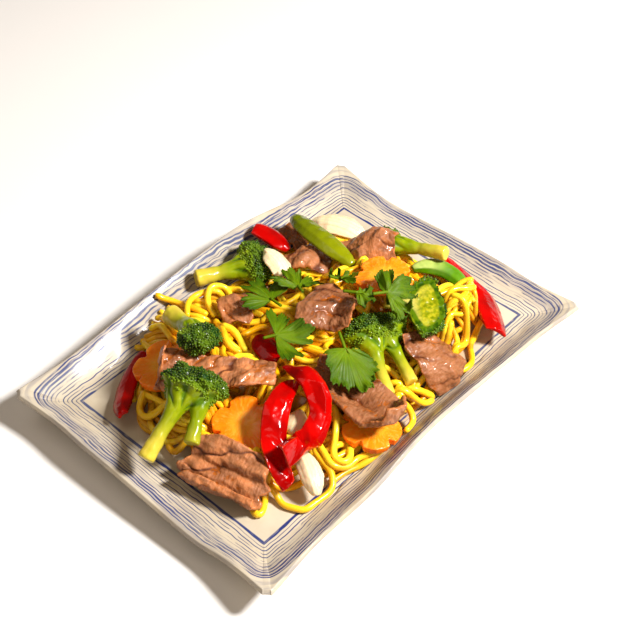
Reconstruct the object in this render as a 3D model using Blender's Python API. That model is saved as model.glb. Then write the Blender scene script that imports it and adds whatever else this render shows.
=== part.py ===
"""Beef fried noodles on a rectangular glazed plate with a wavy rim.

Units are metres and +Z is up.  The origin is under the middle of the plate, on the surface that
its foot stands on.  +X runs along the plate's long side.  The order below is the order in which
the dish is put together: the plate, the heap of noodles, then each topping, which comes straight
down on whatever already lies there, and last the loose noodles round and between the toppings.
"""
import math
import random

import bmesh
import bpy
import numpy as np
from mathutils import Matrix, Vector, noise
from mathutils.bvhtree import BVHTree

# Plate
LIP_HALF = (0.1325, 0.0905)
LIP_CORNER = 0.007
CORNER_FLARE = 0.0050
CORNER_REACH = 8
WELL_HALF = (0.1100, 0.0682)
WELL_CORNER = 0.0015
WELL_TOP = 0.0130
PLATE_THICKNESS = 0.0050
FOOT_HALF = (0.0940, 0.0540)
FOOT_CORNER = 0.0080
FOOT_WIDTH = 0.0070
FOOT_TOP = 0.0062
FOOT_RECESS = 0.0030
RIM_CORNER_HEIGHT = 0.0093
LONG_SIDE_CREST = 0.0118
LONG_SIDE_DIP = 0.0023
LONG_SIDE_CREST_X = 0.014
LONG_SIDE_CREST_WIDTHS = (0.095, 0.058)
LONG_SIDE_TUCK = 0.0029
LONG_SIDE_TUCK_X = 0.050
LONG_SIDE_TUCK_WIDTH = 0.029
SHORT_SIDE_DIP = 0.0050
SHORT_SIDE_SAG = 0.0020
SHORT_SIDE_DIP_Y = 0.044
SHORT_SIDE_DIP_WIDTHS = (0.046, 0.025)
SHORT_SIDE_TUCK = 0.0017

# Noodles
NOODLE_RADIUS = 0.00195
NOODLE_SIDES = 5
NOODLE_STEP = 0.0050
NOODLE_SINK = 0.0009
CORE_HALF = (0.0930, 0.0600)
CORE_CENTRE = (0.001, 0.001)
CORE_HEIGHT = 0.0104
CORE_SIDES = 32
CORE_SQUARENESS = 2.9
CORE_WAVES = ((3, 0.6, 0.045), (7, 2.0, 0.030))
CORE_BUMP = 0.0014
CORE_BUMPS_PER_METRE = 60
# How much higher the heap stands in its middle, wherever the toppings leave room for it
MOUND_RISE = 0.0160
MOUND_ROOM = 0.0048
MOUND_REACH = 0.0060
# Room that the toppings leave for the loose noodles under them: over the core and round it
BED_HIGHER = 0.0034
BED_WIDER = 0.0036

# Every piece stays this far above what it lies on
GAP = 0.0004
# The steepest a piece tilts to what is below it, and the most a limp one bends to it
STEEPEST = 0.55
MOST_SAG = 0.007
SOFT_REACH = 0.006
SKY = 0.2
# Small moves per station when a bent strip's spine is traced
SPINE_MOVES = 8
UP = Vector((0.0, 0.0, 1.0))
DOWN = Vector((0.0, 0.0, -1.0))

# A coriander leaf: degrees its outline turns to each side of its tip, and how much it has fallen off
# there, for a lobed leaf and for a fan; then how many lobes a whole round would hold
LOBED_SPREAD = 112
LOBED_FALL = 0.28
FAN_SPREAD = 72
FAN_FALL = 0.45
LOBES_ROUND = 5.2

CERAMIC = ("cream_glaze", (0.80, 0.70, 0.52), 0.25)
NOODLE = ("egg_noodle", (0.85, 0.55, 0.10), 0.35)
BEEF = ("fried_beef", (0.38, 0.17, 0.10), 0.35)
CARROT = ("carrot", (0.95, 0.30, 0.03), 0.35)
RED_PEPPER = ("red_pepper", (0.60, 0.01, 0.01), 0.20)
GREEN_PEPPER = ("green_pepper", (0.25, 0.42, 0.04), 0.25)
ONION = ("onion", (0.90, 0.82, 0.62), 0.30)
BROCCOLI = ("broccoli", (0.09, 0.24, 0.02), 0.55)
LEAF = ("coriander_leaf", (0.10, 0.32, 0.02), 0.40)


# ---------------------------------------------------------------- objects and meshes

def material(look):
    """The piece's own material from its name, colour and roughness."""
    name, colour, roughness = look
    surface = bpy.data.materials.new(name)
    surface.use_nodes = True
    shader = surface.node_tree.nodes["Principled BSDF"]
    shader.inputs["Base Color"].default_value = (*colour, 1.0)
    shader.inputs["Roughness"].default_value = roughness
    shader.inputs["Metallic"].default_value = 0.0
    surface.diffuse_color = (*colour, 1.0)
    return surface


def solid(name, points, faces, look):
    """One named object from points and faces, its faces turned outwards and all triangles."""
    mesh = bpy.data.meshes.new(name)
    mesh.from_pydata([tuple(p) for p in points], [], faces)
    shape = bmesh.new()
    shape.from_mesh(mesh)
    bmesh.ops.triangulate(shape, faces=shape.faces[:])
    bmesh.ops.recalc_face_normals(shape, faces=shape.faces[:])
    if shape.calc_volume(signed=True) < 0.0:
        bmesh.ops.reverse_faces(shape, faces=shape.faces[:])
    shape.to_mesh(mesh)
    shape.free()
    mesh.shade_smooth()
    mesh.set_sharp_from_angle(angle=math.radians(50))
    mesh.materials.append(material(look))
    piece = bpy.data.objects.new(name, mesh)
    bpy.context.scene.collection.objects.link(piece)
    return piece


def bands(rings):
    """Points and faces of a closed skin over a stack of rings with equally many points."""
    points = [p for ring in rings for p in ring]
    count = len(rings[0])
    faces = []
    for level in range(len(rings) - 1):
        for i in range(count):
            j = (i + 1) % count
            low = level * count
            high = low + count
            faces.append((low + i, low + j, high + j, high + i))
    last = (len(rings) - 1) * count
    faces.append(tuple(reversed(range(count))))
    faces.append(tuple(range(last, last + count)))
    return points, faces


def thick_sheet(points, triangles, thickness):
    """Points and faces of a solid made from a thin sheet, both faces split into triangles alike."""
    points = [Vector(p) for p in points]
    normals = [Vector((0.0, 0.0, 0.0)) for _ in points]
    edges = {}
    for a, b, c in triangles:
        across = (points[b] - points[a]).cross(points[c] - points[a])
        for corner in (a, b, c):
            normals[corner] += across
        for start, end in ((a, b), (b, c), (c, a)):
            edges[(start, end)] = edges.get((start, end), 0) + 1
    count = len(points)
    top = []
    bottom = []
    for point, normal, depth in zip(points, normals, thickness):
        half = normal.normalized() * depth / 2
        top.append(point + half)
        bottom.append(point - half)
    faces = [tuple(t) for t in triangles]
    faces += [(c + count, b + count, a + count) for a, b, c in triangles]
    for start, end in edges:
        if (end, start) not in edges:
            faces.append((end, start, start + count))
            faces.append((end, start + count, end + count))
    return top + bottom, faces


def grid_triangles(rows, columns):
    """Triangles of a sheet whose points run row by row."""
    triangles = []
    for row in range(rows - 1):
        for column in range(columns - 1):
            a = row * columns + column
            b = a + columns
            triangles.append((a, b, b + 1))
            triangles.append((a, b + 1, a + 1))
    return triangles


def unit_noise(x, y, seed):
    """Smooth noise from -1 to 1 that depends only on the place and the seed."""
    return noise.noise(Vector((x, y, 7.31 * seed)))


# ---------------------------------------------------------------- what already lies there

class Heap:
    """Everything laid so far, as one surface that the next piece comes down on."""

    def __init__(self):
        self.points = np.zeros((0, 3))
        self.faces = []
        self.tree = None

    def add(self, piece):
        points, faces = world_mesh(piece)
        first = len(self.points)
        self.points = np.vstack([self.points, points])
        self.faces += [tuple(first + i for i in face) for face in faces]
        self.tree = BVHTree.FromPolygons([Vector(p) for p in self.points], self.faces)

    def height(self, x, y):
        """Height of the surface under a place, or of the table beside the plate."""
        hit = self.tree.ray_cast(Vector((x, y, SKY)), DOWN)[0]
        return hit.z if hit else 0.0

    def soft_height(self, x, y, reach):
        """Height averaged over a small round patch, as limp food bridges small hollows."""
        heights = [self.height(x, y)]
        for turn in range(6):
            angle = turn * math.pi / 3
            heights.append(self.height(x + reach * math.cos(angle), y + reach * math.sin(angle)))
        return sum(heights) / len(heights)


def world_mesh(piece):
    """The piece's points in the dish's frame, and its faces."""
    placed = piece.matrix_world
    points = np.array([placed @ v.co for v in piece.data.vertices])
    faces = [tuple(p.vertices) for p in piece.data.polygons]
    return points, faces


def surface_tree(piece):
    """The piece's surface, ready for measuring distances to it."""
    points, faces = world_mesh(piece)
    return BVHTree.FromPolygons([Vector(p) for p in points], faces)


def surface_samples(points, faces):
    """Corners, edge middles and face middles, for measuring how far a shape can come down."""
    middles = [points[list(face)].mean(axis=0) for face in faces]
    edges = {tuple(sorted((face[i - 1], face[i]))) for face in faces for i in range(len(face))}
    edge_middles = [(points[a] + points[b]) / 2 for a, b in sorted(edges)]
    return np.vstack([points, middles, edge_middles])


def lay(piece, heap, at, heading, follow=1.0, lean=(0.0, 0.0), drape=0.0, lift=0.0):
    """Bring a piece straight down on the heap.

    at: plan position.  heading: degrees round +Z.  follow: how far it tilts to the slope
    below.  lean: degrees of roll and pitch added to that.  drape: how far it bends to the
    surface below.  lift: how much higher than touching it stays, propped on the noodles.
    """
    turn = Matrix.Rotation(math.radians(heading), 4, "Z")
    roll = Matrix.Rotation(math.radians(lean[0]), 4, "X")
    pitch = Matrix.Rotation(math.radians(lean[1]), 4, "Y")
    place = Matrix.Translation((at[0], at[1], 0.0))
    spots = np.array([place @ turn @ v.co for v in piece.data.vertices])
    heights = np.array([heap.height(x, y) for x, y, _ in spots])
    table = np.column_stack([spots[:, 0] - at[0], spots[:, 1] - at[1], np.ones(len(spots))])
    slope_x, slope_y, level = np.linalg.lstsq(table, heights, rcond=None)[0]
    gentler = min(1.0, STEEPEST / max(math.hypot(slope_x, slope_y), 1e-6)) * follow
    normal = Vector((-slope_x * gentler, -slope_y * gentler, 1.0)).normalized()
    tilt = UP.rotation_difference(normal).to_matrix().to_4x4()
    piece.matrix_world = place @ tilt @ turn @ pitch @ roll
    if drape > 0.0:
        bend_to(piece, heap, at, (slope_x, slope_y, level), drape)
    come_down(piece, heap)
    piece.location.z += lift
    bpy.context.view_layer.update()
    heap.add(piece)
    return piece


def bend_to(piece, heap, at, plane, drape):
    """Bend a limp piece from its flat tilt to the shape of the surface below it."""
    back = piece.matrix_world.inverted()
    for vertex in piece.data.vertices:
        spot = piece.matrix_world @ vertex.co
        flat = plane[0] * (spot.x - at[0]) + plane[1] * (spot.y - at[1]) + plane[2]
        sag = heap.soft_height(spot.x, spot.y, SOFT_REACH) - flat
        spot.z += drape * max(-MOST_SAG, min(MOST_SAG, sag))
        vertex.co = back @ spot


def come_down(piece, heap):
    """Move a piece along Z until it rests on the heap with the gap between them."""
    bpy.context.view_layer.update()
    points, faces = world_mesh(piece)
    points[:, 2] += SKY / 2
    tree = BVHTree.FromPolygons([Vector(p) for p in points], faces)
    way = SKY
    for sample in surface_samples(points, faces):
        hit = heap.tree.ray_cast(Vector(sample), DOWN)
        if hit[0] is not None:
            way = min(way, hit[3])
    low = points.min(axis=0) - 0.001
    high = points.max(axis=0) + 0.001
    below = surface_samples(heap.points, heap.faces)
    near = (below[:, :2] > low[:2]).all(axis=1) & (below[:, :2] < high[:2]).all(axis=1)
    for sample in below[near]:
        start = Vector((sample[0], sample[1], 0.0))
        hit = tree.ray_cast(start, UP)
        if hit[0] is not None:
            way = min(way, hit[0].z - sample[2])
    drop = SKY / 2 - way + GAP
    for _ in range(60):
        lowered = [Vector((p[0], p[1], p[2] - SKY / 2 + drop)) for p in points]
        if not BVHTree.FromPolygons(lowered, faces).overlap(heap.tree):
            break
        drop += 0.0003
    piece.location.z += drop
    bpy.context.view_layer.update()


# ---------------------------------------------------------------- plate

def bell(distance, width):
    """A smooth bump of height 1 that fades over the width."""
    return math.exp(-(distance / width) ** 2)


def rim_height(x, y):
    """Height of the lip above the well: low at the short sides, raised along the long ones."""
    along = x if y > 0 else -x
    across = y if x > 0 else -y
    fade_long = 1 - abs(x / LIP_HALF[0]) ** 16
    fade_short = 1 - abs(y / LIP_HALF[1]) ** 12
    from_crest = along - LONG_SIDE_CREST_X
    crest_width = LONG_SIDE_CREST_WIDTHS[0 if from_crest < 0 else 1]
    long_wave = LONG_SIDE_CREST * bell(from_crest, crest_width) - LONG_SIDE_DIP
    from_dip = across - SHORT_SIDE_DIP_Y
    dip_width = SHORT_SIDE_DIP_WIDTHS[0 if from_dip < 0 else 1]
    short_wave = -SHORT_SIDE_DIP * bell(from_dip, dip_width) - SHORT_SIDE_SAG
    return RIM_CORNER_HEIGHT + long_wave * fade_long + short_wave * fade_short


def rim_tuck(x, y):
    """How far the lip is drawn in from its rectangle: once on a long side, evenly on a short one."""
    along = x if y > 0 else -x
    inward_y = LONG_SIDE_TUCK * bell(along - LONG_SIDE_TUCK_X, LONG_SIDE_TUCK_WIDTH)
    inward_x = SHORT_SIDE_TUCK * max(0.0, 1 - (y / LIP_HALF[1]) ** 2)
    return inward_x, inward_y


def rectangle_ring(half, corner, long_steps=13, short_steps=9, arc_steps=3):
    """Plan points once round a rectangle with round corners."""
    quarter_turns = ((1, 1, 0), (-1, 1, 90), (-1, -1, 180), (1, -1, 270))
    ring = []
    for index, (side_x, side_y, start) in enumerate(quarter_turns):
        middle = (side_x * (half[0] - corner), side_y * (half[1] - corner))
        for step in range(arc_steps + 1):
            angle = math.radians(start + 90 * step / arc_steps)
            ring.append((middle[0] + corner * math.cos(angle), middle[1] + corner * math.sin(angle)))
        following = quarter_turns[(index + 1) % 4]
        target = math.radians(following[2])
        goal = (following[0] * (half[0] - corner) + corner * math.cos(target),
                following[1] * (half[1] - corner) + corner * math.sin(target))
        steps = long_steps if index % 2 == 0 else short_steps
        begin = ring[-1]
        for step in range(1, steps):
            share = step / steps
            ring.append((begin[0] + share * (goal[0] - begin[0]), begin[1] + share * (goal[1] - begin[1])))
    return ring


def rim_ring(share, drop=0.0):
    """A ring on the rim: share 0 is the well's edge and 1 the lip, at the height of the ogee.

    The corners are drawn outwards, so that they end in soft points.
    """
    half = [w + share * (l - w) for w, l in zip(WELL_HALF, LIP_HALF)]
    plan = rectangle_ring(half, WELL_CORNER + share * (LIP_CORNER - WELL_CORNER))
    lip = rectangle_ring(LIP_HALF, LIP_CORNER)
    ogee = 0.5 - 0.5 * math.cos(math.pi * share ** 1.3)
    ring = []
    for (x, y), (lip_x, lip_y) in zip(plan, lip):
        tuck_x, tuck_y = rim_tuck(lip_x, lip_y)
        to_corner = abs(lip_x * lip_y) / (LIP_HALF[0] * LIP_HALF[1])
        flare = CORNER_FLARE * to_corner ** CORNER_REACH
        x += share * math.copysign(flare - tuck_x * (abs(lip_x) / LIP_HALF[0]) ** 8, x)
        y += share * math.copysign(flare - tuck_y * (abs(lip_y) / LIP_HALF[1]) ** 8, y)
        ring.append((x, y, WELL_TOP + ogee * rim_height(lip_x, lip_y) - drop))
    return ring


def make_plate():
    inner_foot = [h - FOOT_WIDTH for h in FOOT_HALF]
    rings = [rim_ring(share) for share in (0.0, 0.25, 0.50, 0.72, 0.94)]
    rings.append(rim_ring(1.0, PLATE_THICKNESS * 0.4))
    rings.append(rim_ring(0.93, PLATE_THICKNESS))
    rings.append(rim_ring(0.45, PLATE_THICKNESS))
    foot = rectangle_ring(FOOT_HALF, FOOT_CORNER)
    hollow = rectangle_ring(inner_foot, FOOT_CORNER - FOOT_WIDTH / 2)
    rings.append([(x, y, FOOT_TOP) for x, y in foot])
    rings.append([(x, y, 0.0) for x, y in foot])
    rings.append([(x, y, 0.0) for x, y in hollow])
    rings.append([(x, y, FOOT_RECESS) for x, y in hollow])
    points, faces = bands(rings)
    return solid("plate", points, faces, CERAMIC)


# ---------------------------------------------------------------- noodle core

def core_outline(angle):
    """Distance from the heap's middle to its uneven edge."""
    along = abs(math.cos(angle)) / CORE_HALF[0]
    across = abs(math.sin(angle)) / CORE_HALF[1]
    even = (along ** CORE_SQUARENESS + across ** CORE_SQUARENESS) ** (-1 / CORE_SQUARENESS)
    return even * (0.97 + sum(size * math.sin(count * angle + shift) for count, shift, size in CORE_WAVES))


def make_core(name="noodles", wider=0.0, higher=0.0):
    """The inside of the heap: a low uneven mound that fills the well, or an enlarged copy of it."""
    levels = ((0.965, 0.000), (1.000, 0.140), (0.950, 0.330), (0.820, 0.580), (0.720, 0.715),
              (0.620, 0.820), (0.495, 0.900), (0.370, 0.960), (0.250, 0.990), (0.130, 1.000))
    rings = []
    for index, (share, rise) in enumerate(levels):
        ring = []
        for step in range(CORE_SIDES):
            angle = 2 * math.pi * step / CORE_SIDES
            reach = share * core_outline(angle) + wider
            x = CORE_CENTRE[0] + reach * math.cos(angle)
            y = CORE_CENTRE[1] + reach * math.sin(angle)
            swell = CORE_HEIGHT * rise + higher
            swell += CORE_BUMP * unit_noise(x * CORE_BUMPS_PER_METRE, y * CORE_BUMPS_PER_METRE, 1)
            ring.append((x, y, WELL_TOP + GAP + (swell if index else 0.0)))
        rings.append(ring)
    points, faces = bands(rings)
    return solid(name, points, faces, NOODLE)


def ceiling_over(toppings, x, y, reach):
    """Height of the lowest underside of the toppings over a small round patch."""
    heights = []
    for turn in range(9):
        far = reach if turn < 8 else 0.0
        spot = Vector((x + far * math.cos(turn * math.pi / 4), y + far * math.sin(turn * math.pi / 4), 0.0))
        hit = toppings.tree.ray_cast(spot, UP)[0]
        heights.append(hit.z if hit else SKY)
    return min(heights)


def fill_under(core, toppings):
    """Raise the middle of the mound up to the toppings that lie on it, less room for loose noodles."""
    for vertex in core.data.vertices:
        x, y, z = vertex.co
        x_share = (x - CORE_CENTRE[0]) / CORE_HALF[0]
        y_share = (y - CORE_CENTRE[1]) / CORE_HALF[1]
        inward = max(0.0, 1 - x_share ** 2 - y_share ** 2)
        if inward > 0.0:
            highest = ceiling_over(toppings, x, y, MOUND_REACH) - MOUND_ROOM
            vertex.co.z = max(z, min(z + MOUND_RISE * inward, highest))
    for _ in range(12):
        low = {}
        for polygon in core.data.polygons:
            corners = [core.data.vertices[i] for i in polygon.vertices]
            spots = [polygon.center] + [(corners[i - 1].co + corners[i].co) / 2 for i in range(len(corners))]
            for spot in spots:
                if spot.z > WELL_TOP + 2 * GAP:
                    short = spot.z + MOUND_ROOM / 2 - ceiling_over(toppings, spot.x, spot.y, 0.0)
                    if short > 0.0:
                        for corner in corners:
                            low[corner.index] = max(low.get(corner.index, 0.0), short)
        for index, short in low.items():
            core.data.vertices[index].co.z -= short
        if not low:
            break


# ---------------------------------------------------------------- strips, slices and leaves

def ahead(yaw, pitch):
    """The direction of a heading in plan and a rise above it."""
    return Vector((math.cos(pitch) * math.cos(yaw), math.cos(pitch) * math.sin(yaw), math.sin(pitch)))


def spine(length, steps, bends):
    """Points, headings and pitches along a strip that turns by given angles along its length.

    bends: (share of the length, degrees turned in plan, degrees turned upwards) in order.
    The strip lies level and points along +X at half its length.
    """
    total = sum(share for share, _, _ in bends)
    yaw = 0.0
    pitch = 0.0
    before = 0.0
    for share, plan_turn, rise_turn in bends:
        part = min(max((total / 2 - before) / share, 0.0), 1.0)
        yaw -= math.radians(plan_turn) * part
        pitch -= math.radians(rise_turn) * part
        before += share
    point = Vector((0.0, 0.0, 0.0))
    stations = [(point.copy(), yaw, pitch)]
    moves = steps * SPINE_MOVES
    for step in range(moves):
        place = (step + 0.5) / moves * total
        for share, plan_turn, rise_turn in bends:
            if place <= share:
                break
            place -= share
        piece = total / moves / share
        yaw += math.radians(plan_turn) * piece
        pitch += math.radians(rise_turn) * piece
        point = point + ahead(yaw, pitch) * length / moves
        if (step + 1) % SPINE_MOVES == 0:
            stations.append((point.copy(), yaw, pitch))
    return stations


def tapered(u, start, end):
    """Width along a strip: full in the middle, narrowing to shares of it at the two ends."""
    first = start + (1 - start) * math.sin(min(u / 0.35, 1.0) * math.pi / 2)
    last = end + (1 - end) * math.sin(min((1 - u) / 0.35, 1.0) * math.pi / 2)
    return first * last


def strip(name, look, length, width, thickness, bends, steps=10, lanes=3, taper=(0.4, 0.4), cup=0.0,
          ripple=0.0, ragged=0.0, edge=0.55, seed=1):
    """A strip or slice: a bent thin sheet with thickness, centred on its own plan middle."""
    points = []
    depths = []
    for row, (middle, yaw, pitch) in enumerate(spine(length, steps, bends)):
        u = row / steps
        side = Vector((-math.sin(yaw), math.cos(yaw), 0.0))
        normal = ahead(yaw, pitch).cross(side)
        half = width / 2 * tapered(u, *taper)
        for lane in range(lanes + 1):
            v = 2 * lane / lanes - 1
            reach = half * (1 + ragged * unit_noise(5.0 * u, 3.0 * math.copysign(1, v), seed))
            waves = ripple * unit_noise(4.5 * u, 1.6 * v, seed)
            waves += 0.6 * ripple * unit_noise(9.0 * u, 2.5 * v, seed + 5)
            points.append(middle + side * v * reach + normal * (cup * v * v + waves))
            end_share = 1 - 0.4 * abs(2 * u - 1) ** 8
            depths.append(thickness * (1 - (1 - edge) * abs(v) ** 3) * end_share)
    centre = sum(points, Vector((0.0, 0.0, 0.0))) / len(points)
    points = [p - centre for p in points]
    points, faces = thick_sheet(points, grid_triangles(steps + 1, lanes + 1), depths)
    return solid(name, points, faces, look)


def beef_slice(name, length, width, bends, seed, cup=0.0, taper=(0.6, 0.6), ripple=0.0030):
    """A thin slice of fried beef, ragged at its edges and puckered by the heat."""
    return strip(name, BEEF, length, width, 0.0028, bends, steps=8, lanes=4, taper=taper, cup=cup,
                 ripple=ripple, ragged=0.30, edge=0.75, seed=seed)


def pepper_strip(name, look, length, width, bends, taper=(0.45, 0.45), cup=-0.0018, thickness=0.0042,
                 steps=10):
    """A strip cut along a pepper, with its skin on the rounded side."""
    return strip(name, look, length, width, thickness, bends, steps=steps, lanes=3, taper=taper, cup=cup,
                 edge=0.6)


def onion_piece(name, length, width, bend, cup, seed):
    """A wedge of onion: one or two layers that kept their curve."""
    bends = ((0.5, 0.0, -bend / 2), (0.5, 0.0, -bend / 2))
    return strip(name, ONION, length, width, 0.0034, bends, steps=6, lanes=3, taper=(0.25, 0.35), cup=cup,
                 ragged=0.1, edge=0.5, seed=seed)


def carrot_flower(name, radius, thickness, warp):
    """A carrot slice cut as a five-petalled flower: round petals between narrow notches."""
    petal = ((0.0, 0.74), (0.13, 0.98), (0.32, 1.02), (0.50, 1.04), (0.68, 1.02), (0.87, 0.98))
    reaches = []
    for index in range(5):
        uneven = 1 + 0.05 * unit_noise(index * 1.7, radius * 300, 3)
        for place, reach in petal:
            reaches.append((math.radians(72 * (index + place)), reach * radius * uneven))
    points = [(0.0, 0.0, 0.0)]
    for angle, reach in reaches:
        x = reach * math.cos(angle)
        y = reach * math.sin(angle)
        points.append((x, y, warp * (x * x - y * y) / (radius * radius)))
    count = len(reaches)
    triangles = [(0, 1 + i, 1 + (i + 1) % count) for i in range(count)]
    points, faces = thick_sheet(points, triangles, [thickness] * len(points))
    return solid(name, points, faces, CARROT)


def coriander_leaf(name, size, seed, stem=0.010, droop=0.12, fold=0.05, teeth=9, lobed=True):
    """A coriander leaf on a short flat stalk: three toothed lobes, or one fan that isn't lobed."""
    reach_of = []
    count = 2 * teeth + 1
    spread, fall = (LOBED_SPREAD, LOBED_FALL) if lobed else (FAN_SPREAD, FAN_FALL)
    spread = math.radians(spread)
    for index in range(count):
        angle = spread * (2 * index / (count - 1) - 1)
        lobe = 0.76 + 0.24 * math.cos(LOBES_ROUND * angle) if lobed else 1.0
        lobe *= 1 - fall * (abs(angle) / spread) ** 2
        tooth = 1.0 if index % 2 == 0 else 0.83
        uneven = 1 + 0.10 * unit_noise(index * 0.9, 2.0, seed)
        reach_of.append((angle, size * lobe * tooth * uneven))
    half_stem = 0.0009
    points = [(-stem, -half_stem), (-stem, half_stem), (0.0, -half_stem * 1.3), (0.0, half_stem * 1.3)]
    triangles = [(0, 2, 3), (0, 3, 1)]
    inner = len(points)
    points += [(0.5 * reach * math.cos(a), 0.5 * reach * math.sin(a)) for a, reach in reach_of]
    outer = len(points)
    points += [(reach * math.cos(a), reach * math.sin(a)) for a, reach in reach_of]
    middle = count // 2
    for i in range(count - 1):
        base = 2 if i < middle else 3
        triangles.append((base, inner + i, inner + i + 1))
        triangles.append((inner + i, outer + i, outer + i + 1))
        triangles.append((inner + i, outer + i + 1, inner + i + 1))
    triangles.append((2, inner + middle, 3))
    shaped = []
    for x, y in points:
        away = math.hypot(x, y) / size
        wave = 0.06 * size * unit_noise(x * 90, y * 90, seed) * away
        shaped.append((x - 0.4 * size, y, -droop * size * away ** 2 + fold * abs(y) + wave))
    points, faces = thick_sheet(shaped, triangles, [0.0011] * len(shaped))
    return solid(name, points, faces, LEAF)


# ---------------------------------------------------------------- broccoli

def floret_rings(stem_length, stem_radius, head_radius, head_height, lean, flat, seed, sides=12):
    """Rings of one floret along +X: a stem that widens into a bumpy domed head."""
    random_bump = random.Random(seed)
    head = stem_length
    stem = ((0.00, 0.92), (0.03, 1.00), (0.50, 0.80), (0.80, 1.15))
    dome = ((0.00, 0.72), (0.22, 1.00), (0.55, 0.96), (0.84, 0.64), (1.00, 0.22))
    stations = [(share * head, size * stem_radius) for share, size in stem]
    stations += [(head + share * head_height, size * head_radius) for share, size in dome]
    rings = []
    for index, (along, radius) in enumerate(stations):
        in_head = index >= len(stem)
        bend = lean * (along / head) ** 2
        ring = []
        for step in range(sides):
            angle = 2 * math.pi * (step + 0.5 * (index % 2)) / sides
            bump = random_bump.uniform(-0.10, 0.10) if in_head else 0.0
            reach = radius * (1 + bump)
            wide = reach * math.cos(angle)
            tall = reach * math.sin(angle) * (flat if in_head else 1.0)
            swing = 0.06 * head_height * bump * 10 if in_head else 0.0
            ring.append((along + swing, bend + wide, tall))
        rings.append(ring)
    return rings


def floret(name, stem_length, stem_radius, head_radius, head_height, seed, lean=0.0, flat=0.62):
    """One broccoli floret lying on its side, centred on its own length."""
    rings = floret_rings(stem_length, stem_radius, head_radius, head_height, lean, flat, seed)
    shift = (stem_length + head_height) / 2
    rings = [[(x - shift, y, z) for x, y, z in ring] for ring in rings]
    points, faces = bands(rings)
    return solid(name, points, faces, BROCCOLI)


def forked_floret(name, stem_length, stem_radius, head_radius, head_height, seed, splay, second=0.65,
                  flat=0.62):
    """Two florets that share one head, each with a stem of its own."""
    first = floret(name, stem_length, stem_radius, head_radius, head_height, seed, 0.0, flat)
    short = stem_length * second
    other = floret(name + "_fork", short, stem_radius * 0.9, head_radius * 0.85, head_height * 0.9,
                   seed + 50, 0.0, flat)
    reach = (stem_length - short + head_height * 0.1) / 2
    for piece, side in ((first, 1), (other, -1)):
        turn = Matrix.Rotation(math.radians(-side * splay), 4, "Z")
        middle = Matrix.Translation((0.0 if side > 0 else reach, side * head_radius * 0.42, 0.0))
        piece.data.transform(middle @ turn)
    fuse(first, [other])
    return first


def halved_floret(name, stem_length, stem_radius, head_radius, head_height, seed):
    """A floret cut in half along its stem, so that it shows a flat pale face."""
    rings = floret_rings(stem_length, stem_radius, head_radius, head_height, 0.0, 0.45, seed)
    shift = (stem_length + head_height) / 2
    rings = [[(x - shift, y, z) for x, y, z in ring] for ring in rings]
    points, faces = bands(rings)
    piece = solid(name, points, faces, BROCCOLI)
    shape = bmesh.new()
    shape.from_mesh(piece.data)
    everything = shape.verts[:] + shape.edges[:] + shape.faces[:]
    cut = bmesh.ops.bisect_plane(shape, geom=everything, dist=1e-7, plane_co=(0.0, 0.0, 0.0),
                                 plane_no=UP, clear_outer=True)
    rim = [item for item in cut["geom_cut"] if isinstance(item, bmesh.types.BMEdge)]
    face = bmesh.ops.contextual_create(shape, geom=rim)["faces"]
    bmesh.ops.triangulate(shape, faces=face)
    bmesh.ops.recalc_face_normals(shape, faces=shape.faces[:])
    shape.to_mesh(piece.data)
    shape.free()
    return piece


# ---------------------------------------------------------------- fusing

def fuse(base, others):
    """Join pieces to the base with one Boolean union, and remove the pieces that went in."""
    group = bpy.data.collections.new(base.name + "_pieces")
    bpy.context.scene.collection.children.link(group)
    for other in others:
        group.objects.link(other)
        bpy.context.scene.collection.objects.unlink(other)
    union = base.modifiers.new("union", "BOOLEAN")
    union.operation = "UNION"
    union.operand_type = "COLLECTION"
    union.collection = group
    union.solver = "EXACT"
    bpy.context.view_layer.update()
    joined = bpy.data.meshes.new_from_object(base.evaluated_get(bpy.context.evaluated_depsgraph_get()))
    base.modifiers.clear()
    base.data = joined
    for other in others:
        bpy.data.objects.remove(other)
    bpy.data.collections.remove(group)
    keep_outer_shell(base)


def keep_outer_shell(piece):
    """Keep only the largest closed shell: sealed hollows are filled and loose scraps dropped."""
    shape = bmesh.new()
    shape.from_mesh(piece.data)
    bmesh.ops.remove_doubles(shape, verts=shape.verts[:], dist=1e-6)
    bmesh.ops.dissolve_degenerate(shape, edges=shape.edges[:], dist=1e-6)
    bmesh.ops.triangulate(shape, faces=shape.faces[:])
    shells = []
    waiting = set(shape.faces)
    while waiting:
        shell = set()
        front = [next(iter(waiting))]
        while front:
            face = front.pop()
            if face in shell:
                continue
            shell.add(face)
            for edge in face.edges:
                front.extend(f for f in edge.link_faces if f not in shell)
        shells.append(shell)
        waiting -= shell
    shells.sort(key=len, reverse=True)
    for shell in shells[1:]:
        bmesh.ops.delete(shape, geom=list(shell), context="FACES")
    loose = [v for v in shape.verts if not v.link_faces]
    bmesh.ops.delete(shape, geom=loose, context="VERTS")
    bmesh.ops.recalc_face_normals(shape, faces=shape.faces[:])
    shape.to_mesh(piece.data)
    shape.free()


# ---------------------------------------------------------------- loose noodles

def smooth_route(points, step):
    """Evenly spaced plan points along a smooth curve through the given ones."""
    points = [Vector((x, y, 0.0)) for x, y in points]
    padded = [2 * points[0] - points[1], *points, 2 * points[-1] - points[-2]]
    fine = []
    for i in range(1, len(padded) - 2):
        before, a, b, after = padded[i - 1:i + 3]
        for part in range(12):
            t = part / 12
            fine.append(0.5 * (2 * a + (b - before) * t + (2 * before - 5 * a + 4 * b - after) * t * t
                               + (3 * a - 3 * b + after - before) * t ** 3))
    fine.append(points[-1])
    route = [fine[0]]
    walked = 0.0
    for start, end in zip(fine, fine[1:]):
        walked += (end - start).length
        if walked >= step:
            route.append(end)
            walked = 0.0
    return [(p.x, p.y) for p in route]


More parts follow.
